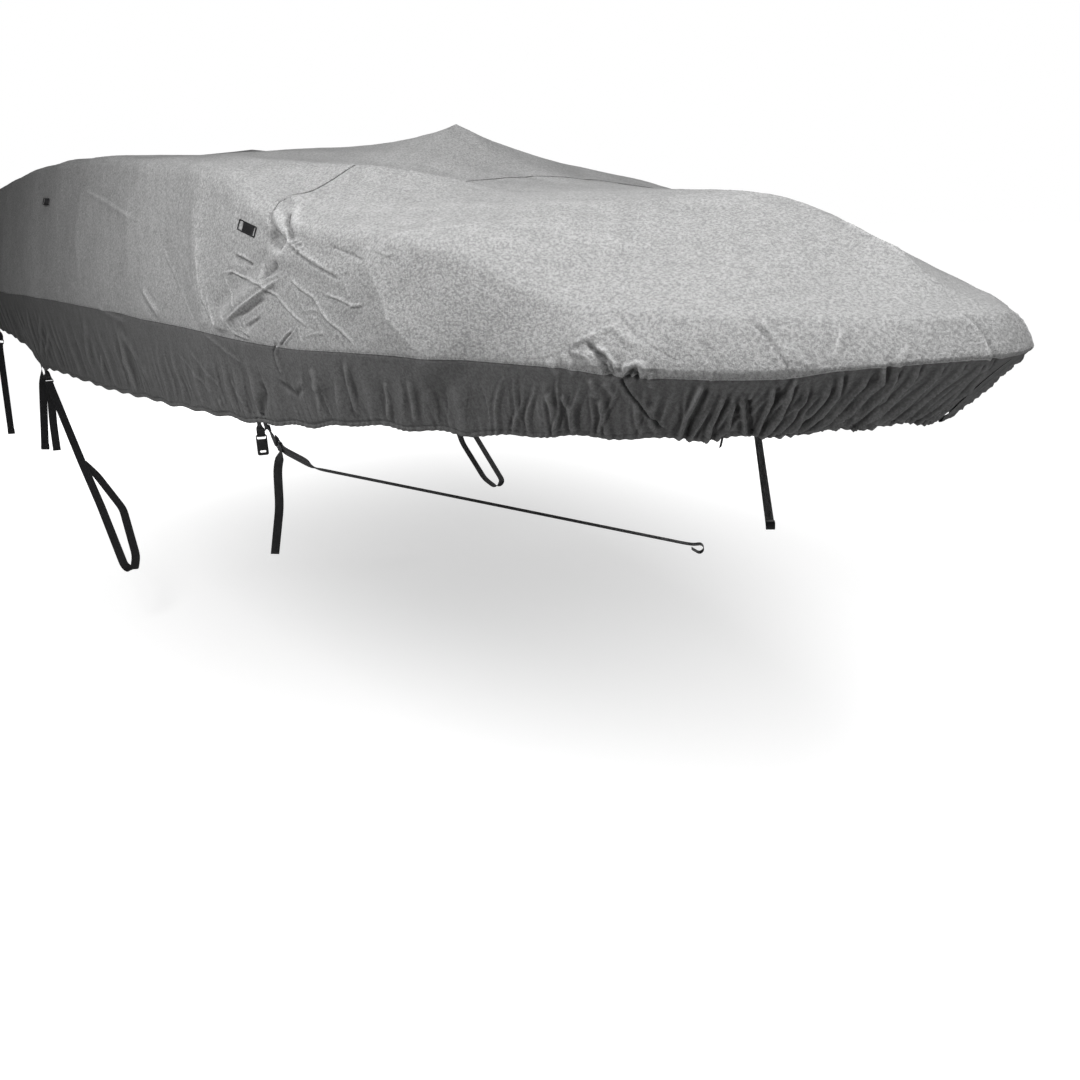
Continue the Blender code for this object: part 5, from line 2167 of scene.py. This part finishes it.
@dataclass
class Studio:
    """Floor, lights and camera."""

    floor_height: float = -2.18
    floor_reach: float = 60.0
    lens: float = 31.6
    place: tuple[float, float, float] = (3.130, -1.979, -0.251)
    yaw: float = 36.4
    pitch: float = 19.8
    roll: float = -1.4
    sky: float = 0.06
    shade_middle: tuple[float, float, float] = (-1.3, 1.3, 0.0)
    shade_reach: tuple[float, float, float] = (3.0, 3.1, 1.0)

    def add_floor(self) -> None:
        """Pale floor, brighter where it is far from the cover: its camera-only glow dims near the cover, a
        painted shadow under it.
        """
        grid = bmesh.new()
        bmesh.ops.create_circle(grid, cap_ends=True, segments=64, radius=self.floor_reach)
        mesh = to_mesh("floor", grid)
        material, tree, shader = new_material(
            "pale_floor", Base_Color=(0.62, 0.62, 0.62, 1.0), Roughness=0.9, Specular_IOR_Level=0.1,
            Emission_Color=(1.0, 1.0, 1.0, 1.0))
        away = add(tree, "TexCoord").outputs["Object"]
        # Painted shadow: the glow that the camera sees is weakest around shade_middle, under and beside the
        # cover.
        for operation, value in (("SUBTRACT", self.shade_middle), ("DIVIDE", self.shade_reach)):
            away = add(tree, "VectorMath", {"operation": operation}, i0=away, i1=value).outputs[0]
        far = add(tree, "VectorMath", {"operation": "LENGTH"}, i0=away).outputs["Value"]
        glow = add(tree, "MapRange", {"interpolation_type": "SMOOTHSTEP"}, Value=far,
                   From_Min=0.10, From_Max=1.35, To_Min=0.42, To_Max=1.0)
        seen = add(tree, "LightPath").outputs["Is Camera Ray"]
        tree.links.new(maths(tree, "MULTIPLY", glow.outputs[0], seen), shader.inputs["Emission Strength"])
        mesh.materials.append(material)
        floor = put("floor", mesh)
        floor.location.z = self.floor_height

    def add_sky(self) -> None:
        """Weak even sky, white to the camera."""
        world = bpy.data.worlds.new("sky")
        world.use_nodes = True
        tree = world.node_tree
        backdrop = tree.nodes["Background"]
        seen = add(tree, "LightPath").outputs["Is Camera Ray"]
        strength = maths(tree, "MULTIPLY_ADD", seen, 1.0 - self.sky, self.sky)
        tree.links.new(strength, backdrop.inputs["Strength"])
        backdrop.inputs["Color"].default_value = (1.0, 1.0, 1.0, 1.0)
        bpy.context.scene.world = world
        bpy.context.scene.view_settings.view_transform = "Standard"

    def add_camera(self) -> None:
        """Camera ahead of the starboard bow, turned a little over its own axis."""
        yaw, pitch, roll = (math.radians(angle) for angle in (self.yaw, self.pitch, self.roll))
        ahead = Vector((-math.cos(yaw), math.sin(yaw), 0.0))
        level = Vector((math.sin(yaw), math.cos(yaw), 0.0))
        upright = Vector((0.0, 0.0, 1.0))
        forward = ahead * math.cos(pitch) - upright * math.sin(pitch)
        lifted = ahead * math.sin(pitch) + upright * math.cos(pitch)
        right = level * math.cos(roll) + lifted * math.sin(roll)
        above = lifted * math.cos(roll) - level * math.sin(roll)
        turn = Matrix((right, above, -forward)).transposed()
        data = bpy.data.cameras.new("camera")
        data.sensor_width, data.lens = 36.0, self.lens
        data.clip_start, data.clip_end = 0.05, 200.0
        camera = put("camera", data)
        camera.location = self.place
        camera.rotation_euler = turn.to_euler()
        bpy.context.scene.camera = camera

    def build(self) -> None:
        """Make the floor, the lights and the camera."""
        self.add_camera()
        for lamp in LAMPS:
            lamp.build()
        self.add_sky()
        self.add_floor()


def main() -> None:
    """Build the cover and its stage, and report each piece."""
    logging.basicConfig(level=logging.INFO, format="%(message)s")
    Studio().build()
    finishes = Finishes()
    Cover(finishes).build()
    for side in Side:
        Fittings(side, finishes).build()


if __name__ == "__main__":
    main()
